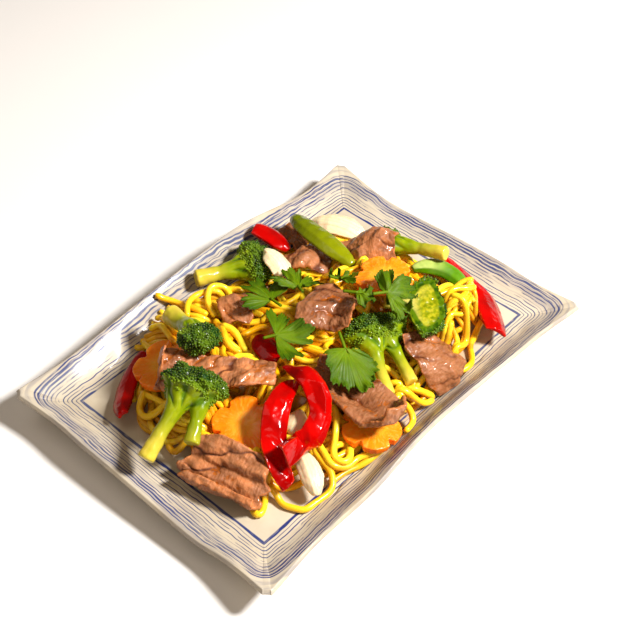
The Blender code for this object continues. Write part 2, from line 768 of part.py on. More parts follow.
def wavy_route(start, heading, length, curl, seed):
    """A noodle's own lie: it wanders left and right as it goes."""
    turn = random.Random(seed)
    swing = turn.uniform(0, 2 * math.pi)
    angle = math.radians(heading)
    x, y = start
    route = [(x, y)]
    for step in range(int(length / NOODLE_STEP)):
        angle += curl * math.sin(swing + step * 0.42) + 0.25 * curl
        x += NOODLE_STEP * math.cos(angle)
        y += NOODLE_STEP * math.sin(angle)
        route.append((x, y))
    return route


def rest_route(route, ground, core_tree, plate_tree):
    """Give a plan route its heights: sunk a little into the mound, but clear of the plate."""
    heights = []
    for x, y in route:
        under = ground.height(x, y)
        on_core = core_tree.ray_cast(Vector((x, y, SKY)), DOWN)[0] is not None
        heights.append(under + NOODLE_RADIUS - NOODLE_SINK if on_core else under + NOODLE_RADIUS + GAP)
    floor = list(heights)
    for _ in range(3):
        padded = [heights[0], *heights, heights[-1]]
        heights = [max(f, (a + 2 * b + c) / 4) for f, a, b, c in zip(floor, padded, padded[1:], padded[2:])]
    points = [Vector((x, y, z)) for (x, y), z in zip(route, heights)]
    for _ in range(6):
        for point in points:
            short = NOODLE_RADIUS + GAP - plate_tree.find_nearest(point)[3]
            point.z += max(0.0, short)
    return points


def clear_runs(points, toppings):
    """The stretches of a noodle that keep clear of every topping, the longest first."""
    runs = [[]]
    for point in points:
        if toppings.tree.find_nearest(point)[3] > NOODLE_RADIUS + 2 * GAP:
            runs[-1].append(point)
        elif runs[-1]:
            runs.append([])
    return sorted(runs, key=len, reverse=True)


def tube(name, points):
    """One noodle: a tube of few sides along its points."""
    rings = []
    side = None
    for i, point in enumerate(points):
        along = (points[min(i + 1, len(points) - 1)] - points[max(i - 1, 0)]).normalized()
        if side is None:
            side = along.cross(UP).normalized()
        side = (side - along * side.dot(along)).normalized()
        up = along.cross(side)
        ring = []
        for step in range(NOODLE_SIDES):
            angle = 2 * math.pi * (step + 0.5) / NOODLE_SIDES
            ring.append(point + NOODLE_RADIUS * (math.cos(angle) * side + math.sin(angle) * up))
        rings.append(ring)
    points, faces = bands(rings)
    return solid(name, points, faces, NOODLE)


# Noodles whose lie shows plainly: loops round the edge, bunches and single strands, in plan
CHOSEN_NOODLES = (
    ((-0.078, -0.034), (-0.088, -0.036), (-0.095, -0.041), (-0.096, -0.045), (-0.099, -0.049),
     (-0.101, -0.055), (-0.097, -0.055), (-0.091, -0.051), (-0.084, -0.046), (-0.077, -0.040)),
    ((-0.080, -0.030), (-0.094, -0.038), (-0.098, -0.043), (-0.094, -0.046), (-0.090, -0.047),
     (-0.086, -0.050), (-0.086, -0.055), (-0.087, -0.060), (-0.085, -0.065), (-0.082, -0.070),
     (-0.076, -0.071), (-0.069, -0.072), (-0.063, -0.072), (-0.060, -0.070), (-0.057, -0.066),
     (-0.056, -0.060), (-0.054, -0.052), (-0.048, -0.046)),
    ((-0.046, -0.044), (-0.051, -0.052), (-0.053, -0.058), (-0.055, -0.064), (-0.053, -0.067),
     (-0.048, -0.070), (-0.041, -0.070), (-0.035, -0.073), (-0.030, -0.075), (-0.023, -0.076),
     (-0.016, -0.077), (-0.010, -0.078), (-0.004, -0.077), (0.000, -0.075), (0.001, -0.070),
     (-0.003, -0.066), (-0.006, -0.060), (-0.004, -0.052)),
    ((-0.030, -0.040), (-0.033, -0.048), (-0.040, -0.054), (-0.047, -0.059), (-0.051, -0.063),
     (-0.050, -0.068), (-0.044, -0.068), (-0.038, -0.062), (-0.032, -0.056), (-0.028, -0.048)),
    ((0.062, -0.046), (0.071, -0.050), (0.078, -0.049), (0.084, -0.046), (0.091, -0.045),
     (0.096, -0.049), (0.095, -0.055), (0.089, -0.058), (0.081, -0.059), (0.075, -0.061),
     (0.068, -0.063), (0.063, -0.068), (0.057, -0.072), (0.051, -0.072), (0.045, -0.069), (0.044, -0.060)),
    ((0.040, -0.054), (0.046, -0.062), (0.053, -0.063), (0.060, -0.064), (0.066, -0.060),
     (0.070, -0.053), (0.068, -0.045)),
    ((0.006, -0.050), (0.010, -0.057), (0.012, -0.063), (0.017, -0.068), (0.024, -0.072),
     (0.031, -0.070), (0.036, -0.062)),
    ((-0.002, -0.050), (0.003, -0.060), (0.006, -0.067), (0.012, -0.072), (0.020, -0.074)),
    ((0.064, -0.029), (0.077, -0.030), (0.085, -0.031), (0.092, -0.035), (0.094, -0.041)),
    ((0.060, -0.034), (0.071, -0.036), (0.079, -0.039), (0.087, -0.041), (0.091, -0.046)),
    ((0.056, -0.040), (0.066, -0.043), (0.073, -0.045), (0.078, -0.049), (0.085, -0.051)),
    ((-0.036, 0.086), (-0.032, 0.081), (-0.029, 0.076), (-0.028, 0.070), (-0.028, 0.062), (-0.026, 0.054)),
    ((-0.004, 0.052), (-0.009, 0.060), (-0.014, 0.066), (-0.021, 0.069), (-0.029, 0.067), (-0.036, 0.060)),
    ((-0.024, 0.050), (-0.020, 0.060), (-0.012, 0.065), (-0.006, 0.060), (-0.004, 0.052)),
    ((-0.060, 0.072), (-0.061, 0.067), (-0.063, 0.058), (-0.060, 0.048), (-0.054, 0.042)),
    ((-0.053, 0.074), (-0.049, 0.070), (-0.052, 0.061), (-0.055, 0.052), (-0.052, 0.044)),
    ((-0.045, 0.077), (-0.043, 0.073), (-0.047, 0.064), (-0.049, 0.054), (-0.046, 0.046)),
    ((-0.089, 0.042), (-0.090, 0.036), (-0.089, 0.029), (-0.089, 0.022), (-0.083, 0.016)),
    ((-0.084, 0.040), (-0.094, 0.037), (-0.098, 0.034), (-0.098, 0.027), (-0.090, 0.022), (-0.082, 0.024)),
    ((-0.026, 0.048), (-0.029, 0.042), (-0.034, 0.034), (-0.039, 0.025), (-0.036, 0.017)),
    ((-0.031, 0.038), (-0.029, 0.031), (-0.030, 0.025), (-0.033, 0.018)),
    ((-0.073, 0.021), (-0.076, 0.013), (-0.076, 0.006), (-0.074, -0.001), (-0.068, -0.005)),
    ((-0.062, 0.011), (-0.054, 0.005), (-0.049, -0.003), (-0.042, -0.009)),
    ((-0.101, 0.010), (-0.102, 0.003), (-0.096, 0.000), (-0.088, 0.001), (-0.080, 0.003)),
)
FREE_NOODLES = 40
FREE_NOODLE_LENGTH = 0.055
SHORTEST_NOODLE = 5
MOST_NOODLES = 29


def loose_noodles(ground, core_tree, plate_tree, toppings):
    """The noodles that show: the chosen ones, then others by rule wherever there is room."""
    noodles = []
    taken = []

    def try_route(route):
        points = rest_route(route, ground, core_tree, plate_tree)
        points = [p for p in points if abs(p.x) < LIP_HALF[0] and abs(p.y) < LIP_HALF[1]]
        for run in clear_runs(points, toppings):
            if len(run) < SHORTEST_NOODLE or len(noodles) >= MOST_NOODLES:
                return
            if min(core_tree.find_nearest(p)[3] for p in run) < NOODLE_RADIUS - NOODLE_SINK / 2:
                piece = tube("loose_noodle_%02d" % len(noodles), run)
                ground.add(piece)
                noodles.append(piece)
                taken.append(run[len(run) // 2])
                return

    for route in CHOSEN_NOODLES:
        try_route(smooth_route(route, NOODLE_STEP))
    draw = random.Random(11)
    for index in range(FREE_NOODLES):
        turn = index * math.radians(137.5)
        reach = 0.96 * math.sqrt((index + 0.5) / FREE_NOODLES)
        start = (reach * CORE_HALF[0] * math.cos(turn), reach * CORE_HALF[1] * math.sin(turn))
        route = wavy_route(start, draw.uniform(0, 360), FREE_NOODLE_LENGTH, 0.22, index)
        middle = route[len(route) // 2]
        if all((p.x - middle[0]) ** 2 + (p.y - middle[1]) ** 2 > 0.012 ** 2 for p in taken):
            try_route(route)
    return noodles


# ---------------------------------------------------------------- the dish

def clear_scene():
    for item in list(bpy.data.objects):
        bpy.data.objects.remove(item)


def lay_toppings(heap):
    """Every topping, from the lowest to the one that was put on last."""
    lay(pepper_strip("red_pepper_right", RED_PEPPER, 0.072, 0.017,
                     ((0.45, -4, 0), (0.10, -40, 0), (0.45, -4, 0)), taper=(0.8, 0.8), steps=12),
        heap, (0.0966, -0.0444), -113, follow=0.5, lean=(-30, 0))
    lay(pepper_strip("green_pepper_right", GREEN_PEPPER, 0.038, 0.010, ((1.0, -95, 0),),
                     taper=(0.3, 0.35)),
        heap, (0.0903, -0.0232), -68)
    lay(floret("broccoli_right", 0.034, 0.0046, 0.0130, 0.0150, 31, lean=0.003),
        heap, (0.0915, 0.0027), 100)
    lay(pepper_strip("red_pepper_left", RED_PEPPER, 0.048, 0.013, ((1.0, 60, 10),)),
        heap, (-0.0883, 0.0524), -148, follow=0.4, lean=(35, 0))
    lay(carrot_flower("carrot_front_left", 0.0170, 0.0048, 0.001),
        heap, (-0.0698, -0.0163), 8)
    lay(strip("beef_front_left", BEEF, 0.037, 0.044, 0.0028,
              ((0.36, 0, 250), (0.16, 0, -80), (0.16, 0, 85), (0.16, 0, -80), (0.16, 0, 40)), steps=12,
              lanes=4, taper=(0.8, 0.6), ripple=0.0020, ragged=0.4, edge=0.75, seed=11),
        heap, (-0.0989, -0.0302), 14, follow=0.6, drape=0.8, lift=0.0042)
    lay(onion_piece("onion_back_right", 0.038, 0.018, 60, -0.003, 6),
        heap, (0.0909, 0.0554), 111, follow=0.7)
    lay(carrot_flower("carrot_back_left", 0.0165, 0.0045, 0.002),
        heap, (-0.0725, 0.0415), 20)
    lay(carrot_flower("carrot_front", 0.0160, 0.0042, 0.002),
        heap, (-0.0231, -0.0646), 50, follow=0.7)
    lay(onion_piece("onion_front", 0.030, 0.012, 70, -0.003, 4),
        heap, (-0.0680, -0.0607), -120, follow=0.8, lift=0.0036)
    lay(onion_piece("onion_in_pepper", 0.018, 0.011, 60, -0.002, 5),
        heap, (-0.0499, -0.0353), 30)
    lay(beef_slice("beef_left", 0.072, 0.020, ((0.18, 0, 190), (0.82, 8, -20)), 17, taper=(0.8, 0.7),
                   ripple=0.0036),
        heap, (-0.0645, 0.0134), -54, drape=0.9)
    lay(forked_floret("broccoli_left", 0.039, 0.0048, 0.0145, 0.0150, 35, 9),
        heap, (-0.0962, 0.0022), 22)
    lay(forked_floret("broccoli_centre", 0.034, 0.0044, 0.0150, 0.0160, 36, 5, second=0.9),
        heap, (0.0166, -0.0411), 62)
    lay(floret("broccoli_back_left", 0.028, 0.0060, 0.0130, 0.0140, 33, lean=-0.003),
        heap, (-0.0522, 0.0398), -103)
    lay(floret("broccoli_back", 0.030, 0.0054, 0.0165, 0.0170, 34, lean=0.002),
        heap, (0.0092, 0.0671), -28)
    lay(beef_slice("beef_front", 0.068, 0.030, ((0.25, 0, -40), (0.5, 0, 50), (0.25, 0, 80)), 12,
                   cup=0.006),
        heap, (-0.0197, -0.0536), -82, drape=0.7)
    lay(beef_slice("beef_front_right", 0.044, 0.028, ((0.3, 0, 60), (0.4, 0, -70), (0.3, 0, -20)), 13,
                   cup=-0.004),
        heap, (0.0365, -0.0616), -95, drape=0.7)
    lay(halved_floret("broccoli_halved", 0.017, 0.0062, 0.0215, 0.0185, 32),
        heap, (0.0490, -0.0352), -50, follow=0.6, lean=(12, 0))
    lay(beef_slice("beef_back_far", 0.028, 0.020, ((0.4, 0, 30), (0.6, 0, -40)), 14, cup=-0.003),
        heap, (0.0667, 0.0674), 10, drape=0.7)
    lay(beef_slice("beef_back", 0.032, 0.024, ((0.3, 0, 50), (0.4, 0, -80), (0.3, 0, 20)), 15,
                   cup=-0.003),
        heap, (0.0453, 0.0429), -60, drape=0.7)
    lay(beef_slice("beef_back_left", 0.034, 0.020, ((0.35, 0, 70), (0.3, 0, -130), (0.35, 0, 60)), 16),
        heap, (-0.0124, 0.0453), 50, drape=0.7)
    lay(beef_slice("beef_centre", 0.050, 0.031, ((0.3, 0, 70), (0.25, 0, -110), (0.45, 0, 30)), 18,
                   cup=-0.004),
        heap, (0.0106, 0.0001), -80, drape=0.7)
    lay(beef_slice("beef_right", 0.035, 0.022, ((0.3, 0, 40), (0.4, 0, -60), (0.3, 0, 50)), 19,
                   cup=-0.003),
        heap, (0.0729, 0.0196), -55, drape=0.7)
    lay(carrot_flower("carrot_right", 0.0165, 0.0048, 0.002),
        heap, (0.0487, -0.0113), 30, follow=0.3)
    lay(onion_piece("onion_back", 0.026, 0.014, 70, -0.003, 7),
        heap, (0.0249, 0.0475), -95)
    lay(pepper_strip("red_pepper_back", RED_PEPPER, 0.026, 0.015, ((1.0, 20, -20),), taper=(0.3, 0.8)),
        heap, (0.0462, 0.0713), 100, follow=0.3, lean=(20, -12))
    lay(strip("snow_pea", GREEN_PEPPER, 0.058, 0.016, 0.0060, ((0.5, 6, -8), (0.5, 6, -14)), steps=11,
              lanes=4, taper=(0.35, 0.25), cup=-0.0025, edge=0.35),
        heap, (0.0592, 0.0435), -102, lean=(10, 0))
    lay(pepper_strip("red_pepper_centre", RED_PEPPER, 0.022, 0.014, ((1.0, 20, -20),)),
        heap, (-0.0233, 0.0103), -105)
    lay(pepper_strip("red_pepper_loop_left", RED_PEPPER, 0.065, 0.0140, ((0.5, 34, 0), (0.5, 42, -10)),
                     taper=(0.6, 0.6), steps=12),
        heap, (-0.0650, -0.0375), -139, drape=1.0)
    lay(pepper_strip("red_pepper_loop_right", RED_PEPPER, 0.072, 0.012,
                     ((0.34, -20, 0), (0.22, -58, 0), (0.44, -22, 0)), taper=(0.7, 0.8), steps=12),
        heap, (-0.0504, -0.0406), -146, drape=1.0)
    lay(coriander_leaf("coriander_front", 0.027, 41, fold=0.02, lobed=False),
        heap, (-0.0120, -0.0414), -121, drape=0.3, lean=(0, 24))
    lay(coriander_leaf("coriander_centre", 0.026, 42),
        heap, (-0.0164, -0.0025), -33, drape=0.7)
    lay(coriander_leaf("coriander_back", 0.023, 43),
        heap, (-0.0004, 0.0383), 85, drape=0.6, lean=(-8, 0))
    lay(coriander_leaf("coriander_back_right", 0.019, 44),
        heap, (0.0210, 0.0303), 60, drape=0.7)
    lay(coriander_leaf("coriander_small", 0.012, 45),
        heap, (0.0228, -0.0205), -60, drape=0.7)
    lay(coriander_leaf("coriander_dark", 0.014, 46),
        heap, (0.0345, 0.0041), -10, drape=0.7)
    lay(coriander_leaf("coriander_right", 0.024, 47, droop=0.4),
        heap, (0.0402, -0.0322), -20, drape=0.7)


def build():
    clear_scene()
    plate = make_plate()
    core = make_core()
    bare = Heap()
    heap = Heap()
    bed = make_core("bed", BED_WIDER, BED_HIGHER)
    bpy.context.view_layer.update()
    for piece in (plate, bed):
        heap.add(piece)
    bpy.data.objects.remove(bed)
    plate_tree = surface_tree(plate)
    lay_toppings(heap)
    toppings = Heap()
    for piece in list(bpy.data.objects):
        if piece not in (plate, core):
            toppings.add(piece)
    fill_under(core, toppings)
    core_tree = surface_tree(core)
    for piece in (plate, core):
        bare.add(piece)
    fuse(core, loose_noodles(bare, core_tree, plate_tree, toppings))


build()
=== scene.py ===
# %% [markdown]
# # Fried noodles with beef, on a wavy plate
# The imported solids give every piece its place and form.  This notebook gives them their looks:
# each piece is made again as a finer surface over its solid, then finished with a material that
# changes over the surface.  The order follows the dish, from the plate up to the last leaf.

# %% Load the frame
import math
import random

import bmesh
import bpy
import numpy as np
from mathutils import Matrix, Vector, noise
from mathutils.bvhtree import BVHTree


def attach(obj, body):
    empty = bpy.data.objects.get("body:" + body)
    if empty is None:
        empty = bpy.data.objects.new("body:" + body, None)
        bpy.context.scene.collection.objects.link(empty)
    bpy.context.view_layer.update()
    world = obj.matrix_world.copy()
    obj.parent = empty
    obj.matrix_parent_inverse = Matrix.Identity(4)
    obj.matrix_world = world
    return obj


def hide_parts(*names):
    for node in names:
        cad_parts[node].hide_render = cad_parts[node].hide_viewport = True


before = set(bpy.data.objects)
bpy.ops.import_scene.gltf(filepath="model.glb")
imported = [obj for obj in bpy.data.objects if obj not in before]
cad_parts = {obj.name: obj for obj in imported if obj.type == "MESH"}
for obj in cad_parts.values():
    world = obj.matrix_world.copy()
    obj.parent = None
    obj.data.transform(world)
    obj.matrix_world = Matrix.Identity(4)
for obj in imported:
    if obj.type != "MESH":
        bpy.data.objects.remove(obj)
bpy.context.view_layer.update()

FOOD = [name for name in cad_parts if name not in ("plate", "noodles")]
print(len(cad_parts), "solids,", len(FOOD), "toppings")

# %% [markdown]
# ## Working with surfaces
# A solid has few faces.  A voxel remesh turns it into an even skin of small squares, and a little
# smoothing rounds it, so that it can carry wrinkles and grain.  After that every step works on all
# points at once as arrays, which keeps the steps short and quick.

# %% Finer skins
def solid_mesh(node):
    """The solid's own mesh as a copy, with its split corners joined again."""
    shape = bmesh.new()
    shape.from_mesh(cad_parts[node].data)
    bmesh.ops.remove_doubles(shape, verts=shape.verts[:], dist=1e-6)
    mesh = bpy.data.meshes.new(node + "_solid")
    shape.to_mesh(mesh)
    shape.free()
    return mesh


def with_modifiers(mesh, *steps):
    """The mesh after modifiers, each given as (type, settings)."""
    holder = bpy.data.objects.new("holder", mesh)
    bpy.context.scene.collection.objects.link(holder)
    for kind, settings in steps:
        step = holder.modifiers.new(kind, kind)
        for key, value in settings.items():
            setattr(step, key, value)
    shown = holder.evaluated_get(bpy.context.evaluated_depsgraph_get())
    made = bpy.data.meshes.new_from_object(shown)
    bpy.data.objects.remove(holder)
    return made


def fine_skin(node, voxel, rounds):
    """An even fine skin over a solid, rounded by a few smoothing steps."""
    return with_modifiers(solid_mesh(node), ("REMESH", {"mode": "VOXEL", "voxel_size": voxel}),
                          ("SMOOTH", {"factor": 0.5, "iterations": rounds}))


def get_points(mesh):
    flat = np.zeros(len(mesh.vertices) * 3)
    mesh.vertices.foreach_get("co", flat)
    return flat.reshape(-1, 3)


def set_points(mesh, points):
    mesh.vertices.foreach_set("co", np.ascontiguousarray(points).ravel())
    mesh.update()


def get_normals(mesh):
    flat = np.zeros(len(mesh.vertices) * 3)
    mesh.vertex_normals.foreach_get("vector", flat)
    return flat.reshape(-1, 3)


def store(mesh, name, values):
    """Keeps a number for every point, for the material to read."""
    made = mesh.attributes.new(name, "FLOAT", "POINT")
    made.data.foreach_set("value", np.asarray(values, np.float32))


def bumps(points, scale, seed=0):
    """Smooth noise from -1 to 1 at points, with features 1/scale metres apart; scale may differ by axis."""
    placed = points * np.asarray(scale, float) + 7.3 * seed
    return np.array([noise.noise(p) for p in placed.tolist()])


def ridges(points, scale, seed=0):
    """Noise with sharp crests, as creased skin has: from 0 to 1, high along thin lines."""
    return 1 - np.abs(bumps(points, scale, seed)) * 2.2


def own_frame(points):
    """Points measured along a piece's own directions, the longest first, and those directions."""
    middle = points.mean(axis=0)
    ways = np.linalg.eigh(np.cov((points - middle).T))[1][:, ::-1].T
    return (points - middle) @ ways.T, ways


def neighbour_mean(mesh, values, rounds):
    """Values averaged with those of neighbouring points, some rounds over."""
    edges = np.zeros(len(mesh.edges) * 2, int)
    mesh.edges.foreach_get("vertices", edges)
    a, b = edges.reshape(-1, 2).T
    count = np.bincount(np.concatenate([a, b]), minlength=len(values)) + 1
    for _ in range(rounds):
        total = np.bincount(a, values[b], len(values)) + np.bincount(b, values[a], len(values))
        values = (total + values) / count
    return values


def between(values, low, high):
    """0 below low, 1 above high, and a smooth rise between them."""
    t = np.clip((values - low) / (high - low), 0, 1)
    return t * t * (3 - 2 * t)


def show(name, mesh, surface, slot, *nodes):
    """Puts a finished mesh in the scene in place of its solids, and returns it."""
    mesh.materials.clear()
    mesh.materials.append(surface)
    mesh.shade_smooth()
    piece = bpy.data.objects.new(name, mesh)
    bpy.context.scene.collection.objects.link(piece)
    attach(piece, "root")
    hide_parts(*nodes)
    return piece


def show_kind(kind, ending, make, look, slot):
    """Makes and shows every topping whose name starts with kind, all with one finish."""
    nodes = [node for node in FOOD if node.startswith(kind)]
    for node in nodes:
        piece = show(node + ending, make(node), look.material, slot, node)
    print(kind, "-", len(nodes), "pieces, the last of", len(piece.data.polygons), "faces")


# %% [markdown]
# ## Writing a material in few lines
# Food is never one flat colour.  Each material below mixes two to four colours by noise and by
# numbers stored in the mesh, such as how deep a point lies or how near the cut edge it is.  A small
# helper class holds the wiring, so that a finish reads as the few decisions that make it: a first
# colour, and coats painted over it, each where some value rises.

# %% A small kit for materials
def srgb(red, green, blue):
    """Screen colour from 0 to 255, as the light value that a shader uses."""
    return tuple(c / 12.92 if c <= 0.04045 else ((c + 0.055) / 1.055) ** 2.4
                 for c in (red / 255, green / 255, blue / 255))


def feed(tree, socket, value):
    """Links a socket to another node's output, or sets its value."""
    if isinstance(value, bpy.types.NodeSocket):
        tree.links.new(value, socket)
    elif isinstance(value, tuple) and len(value) == 3 and socket.type == "RGBA":
        socket.default_value = (*value, 1.0)
    else:
        socket.default_value = value


def wire(tree, kind, links=(), **settings):
    """A new node with its settings, and with values or links for some of its sockets."""
    node = tree.nodes.new(kind)
    for key, value in settings.items():
        setattr(node, key, value)
    for socket, value in links:
        feed(tree, node.inputs[socket], value)
    return node


class Look:
    """A material whose shader is fed by a few short calls."""

    def __init__(self, name, **constants):
        self.material = bpy.data.materials.new(name)
        self.material.use_nodes = True
        self.tree = self.material.node_tree
        self.shader = self.tree.nodes["Principled BSDF"]
        self.place = self.add("ShaderNodeTexCoord").outputs["Object"]
        self.set(**constants)

    def add(self, kind, links=(), **settings):
        return wire(self.tree, kind, links, **settings)

    def set(self, **values):
        for key, value in values.items():
            feed(self.tree, self.shader.inputs[key.replace("_", " ")], value)

    def number(self, name):
        return self.add("ShaderNodeAttribute", attribute_name=name).outputs["Fac"]

    def noise(self, scale, detail=3.0, place=None, rough=0.55):
        """Smooth noise over the object's own place, or over another vector."""
        links = [("Vector", place or self.place), ("Scale", scale), ("Detail", detail), ("Roughness", rough)]
        return self.add("ShaderNodeTexNoise", links).outputs["Fac"]

    def vector(self, x, y, z=0.0):
        return self.add("ShaderNodeCombineXYZ", [("X", x), ("Y", y), ("Z", z)]).outputs[0]

    def math(self, operation, first, second=0.0):
        return self.add("ShaderNodeMath", [(0, first), (1, second)], operation=operation).outputs[0]

    def rise(self, value, low, high, to_low=0.0, to_high=1.0):
        links = [("Value", value), ("From Min", low), ("From Max", high),
                 ("To Min", to_low), ("To Max", to_high)]
        return self.add("ShaderNodeMapRange", links, interpolation_type="SMOOTHSTEP").outputs["Result"]

    def mix(self, share, first, second):
        links = [(0, share), (6, first), (7, second)]
        return self.add("ShaderNodeMix", links, data_type="RGBA").outputs[2]

    def paint(self, base, *coats):
        """Colours over a base.  A coat is its colour, a value or the name of a stored number, and limits."""
        for colour, value, *limits in coats:
            value = self.number(value) if isinstance(value, str) else value
            base = self.mix(self.rise(value, *limits), base, srgb(*colour))
        return base

    def bump(self, height, distance, strength):
        links = [("Height", height), ("Distance", distance), ("Strength", strength)]
        self.set(Normal=self.add("ShaderNodeBump", links).outputs["Normal"])


# %% [markdown]
# ## The plate
# The plate is glazed stoneware: a flat oblong well, sharp at its four corners, and a broad rim
# that was pulled into slow waves while the clay was soft.  Its solid has few faces, so the quads
# are found again and divided smoothly.  Edges that turn sharply are kept firm.

# %% The plate's smooth surface
def quads_again(mesh):
    """The mesh with its triangles joined to quads and its sharp edges marked firm."""
    shape = bmesh.new()
    shape.from_mesh(mesh)
    bmesh.ops.join_triangles(shape, faces=shape.faces[:], angle_face_threshold=0.5,
                             angle_shape_threshold=1.2)
    crease = shape.edges.layers.float.new("crease_edge")
    for edge in shape.edges:
        turn = edge.calc_face_angle(0.0)
        edge[crease] = 0.8 if turn > 1.2 else 0.5 if turn > 0.3 else 0.0
    shape.to_mesh(mesh)
    shape.free()
    return mesh


def divided(mesh, levels):
    """A smooth surface that still passes through the solid's own corners."""
    wanted = get_points(mesh)
    for _ in range(8):
        smooth = with_modifiers(mesh, ("SUBSURF", {"levels": levels, "render_levels": levels}))
        short = wanted - get_points(smooth)[:len(wanted)]
        set_points(mesh, get_points(mesh) + 0.9 * short)
    return with_modifiers(mesh, ("SUBSURF", {"levels": levels, "render_levels": levels}))


plate_mesh = divided(quads_again(solid_mesh("plate")), 3)
store(plate_mesh, "under", between(-get_normals(plate_mesh)[:, 2], -0.70, -0.10))
print("plate:", len(plate_mesh.polygons), "faces, from", get_points(plate_mesh).min(0), "to",
      get_points(plate_mesh).max(0))

# %% [markdown]
# The rim carries brushed lines in cobalt and iron.  The lines run parallel to the well, so each is
# set by its distance outside the well's rectangle.  A fourth-power distance keeps the first line's
# corners sharp and lets the outer ones round off.  Long thin noise breaks them up as a half-dry
# brush does.  Close round the heap the glaze carries an orange-brown tint that is a sauce stain and
# also painted shade and a painted reflection of the food, and the underside carries painted shade.

# %% The plate's glaze
WELL = (0.1100, 0.0682)
STAIN_AND_SHADE_HALF = (0.099, 0.068)
SQUARENESS = 2.9
glaze = Look("cream_glaze_with_brushed_lines", Coat_Weight=0.10, Coat_Roughness=0.12, Specular_IOR_Level=0.3)
axis = glaze.add("ShaderNodeSeparateXYZ", [("Vector", glaze.place)])
side_x = glaze.math("ABSOLUTE", axis.outputs["X"])
side_y = glaze.math("ABSOLUTE", axis.outputs["Y"])
over_x = glaze.math("MAXIMUM", glaze.math("SUBTRACT", side_x, WELL[0]), 0.0)
over_y = glaze.math("MAXIMUM", glaze.math("SUBTRACT", side_y, WELL[1]), 0.0)
fourth = glaze.math("ADD", glaze.math("POWER", over_x, 4.0), glaze.math("POWER", over_y, 4.0))
wander = glaze.noise(55.0, 2.0)
outside = glaze.math("ADD", glaze.math("MULTIPLY", glaze.math("POWER", fourth, 0.25), 1000.0),
                     glaze.rise(wander, 0.3, 0.7, -0.55, 0.55))
inside_well = glaze.math("MAXIMUM", glaze.math("SUBTRACT", side_x, WELL[0]),
                         glaze.math("SUBTRACT", side_y, WELL[1]))
beside = glaze.math("SUBTRACT", side_y, side_x)


def brush(along_scale, across_scale, seed):
    """Streaky noise that is long along the lines and thin across them."""
    place = glaze.vector(glaze.math("MULTIPLY", beside, along_scale),
                         glaze.math("MULTIPLY", outside, across_scale),
                         glaze.math("ADD", axis.outputs["X"], seed))
    return glaze.noise(1.0, 3.0, place, 0.6)


def line(centre, half, presence):
    """A painted line at a distance in millimetres outside the well, as strong as presence says."""
    away = glaze.math("ABSOLUTE", glaze.math("SUBTRACT", outside, centre))
    return glaze.math("MULTIPLY", glaze.rise(away, half * 0.55, half * 1.25, 1.0, 0.0), presence)


streaks = brush(38.0, 1.3, 0.0)
dashes = brush(80.0, 0.6, 4.0)
patches = glaze.noise(16.0, 1.0)
strong = glaze.rise(streaks, 0.30, 0.45, 0.60, 1.0)
thin = glaze.rise(streaks, 0.38, 0.52, 0.15, 0.85)
broken = glaze.rise(dashes, 0.42, 0.52, 0.0, 0.85)
on_rim = glaze.math("MULTIPLY", glaze.rise(inside_well, -0.0012, -0.0006),
                    glaze.rise(glaze.number("under"), 0.3, 0.9, 1.0, 0.0))
outer = glaze.rise(brush(55.0, 1.1, 9.0), 0.36, 0.50, 0.1, 1.0)
navy = line(0.0, 0.62, strong)
for centre, half, presence in ((2.1, 0.28, thin), (4.1, 0.34, strong), (5.9, 0.26, broken),
                               (7.6, 0.30, strong), (9.6, 0.34, broken), (11.2, 0.28, thin),
                               (13.1, 0.40, broken), (14.9, 0.45, outer), (16.7, 0.62, outer),
                               (18.6, 0.75, outer), (20.3, 0.45, outer)):
    navy = glaze.math("MAXIMUM", navy, line(centre, half, presence))
wash = glaze.rise(brush(26.0, 0.35, 14.0), 0.42, 0.62, 0.0, 0.34)
wash = glaze.math("MULTIPLY", wash, glaze.rise(outside, 9.0, 14.0))
navy = glaze.math("MULTIPLY", glaze.math("MAXIMUM", navy, wash), on_rim)
cream = glaze.paint(srgb(196, 184, 162), ((184, 170, 146), glaze.noise(35.0, 4.0), 0.35, 0.7))
# Painted shade: the plate's underside is painted darker.
cream = glaze.mix(glaze.number("under"), cream, srgb(164, 148, 122))
# Sauce stain together with painted shade and a painted orange reflection of the food, close round the heap.
share_x = glaze.math("POWER", glaze.math("DIVIDE", side_x, STAIN_AND_SHADE_HALF[0]), SQUARENESS)
share_y = glaze.math("POWER", glaze.math("DIVIDE", side_y, STAIN_AND_SHADE_HALF[1]), SQUARENESS)
stain_and_shade_near_heap = glaze.rise(glaze.math("ADD", share_x, share_y), 0.85, 1.35, 0.45, 0.0)
cream = glaze.mix(glaze.math("MULTIPLY", stain_and_shade_near_heap, glaze.rise(glaze.noise(48.0, 3.0), 0.35, 0.6)), cream,
                  srgb(184, 128, 56))
ink = glaze.paint(srgb(28, 44, 104), ((74, 80, 110), patches, 0.42, 0.64))
glaze.set(Base_Color=glaze.mix(navy, cream, ink),
          Roughness=glaze.rise(glaze.noise(60.0, 3.0), 0.3, 0.7, 0.36, 0.48))
glaze.bump(glaze.noise(220.0, 2.0), 0.0002, 0.25)
show("glazed_plate", plate_mesh, glaze.material, "cream_glaze", "plate")

# %% [markdown]
# ## The noodles
# Thick egg noodles lie in a heap, each over or under its neighbours.  They are laid one after
# another on a map of heights: a noodle rests on whatever is highest below it, and the map then
# rises by its round back.  Two more things guide it.  The toppings above set a ceiling that it
# has to pass beneath, and their sides push it away, so that noodles run right up to each piece
# and on below it.  Under them all is a hidden core: a low rise over the well, and on it a mound
# that grows towards the middle and is held below the toppings that lie over it.

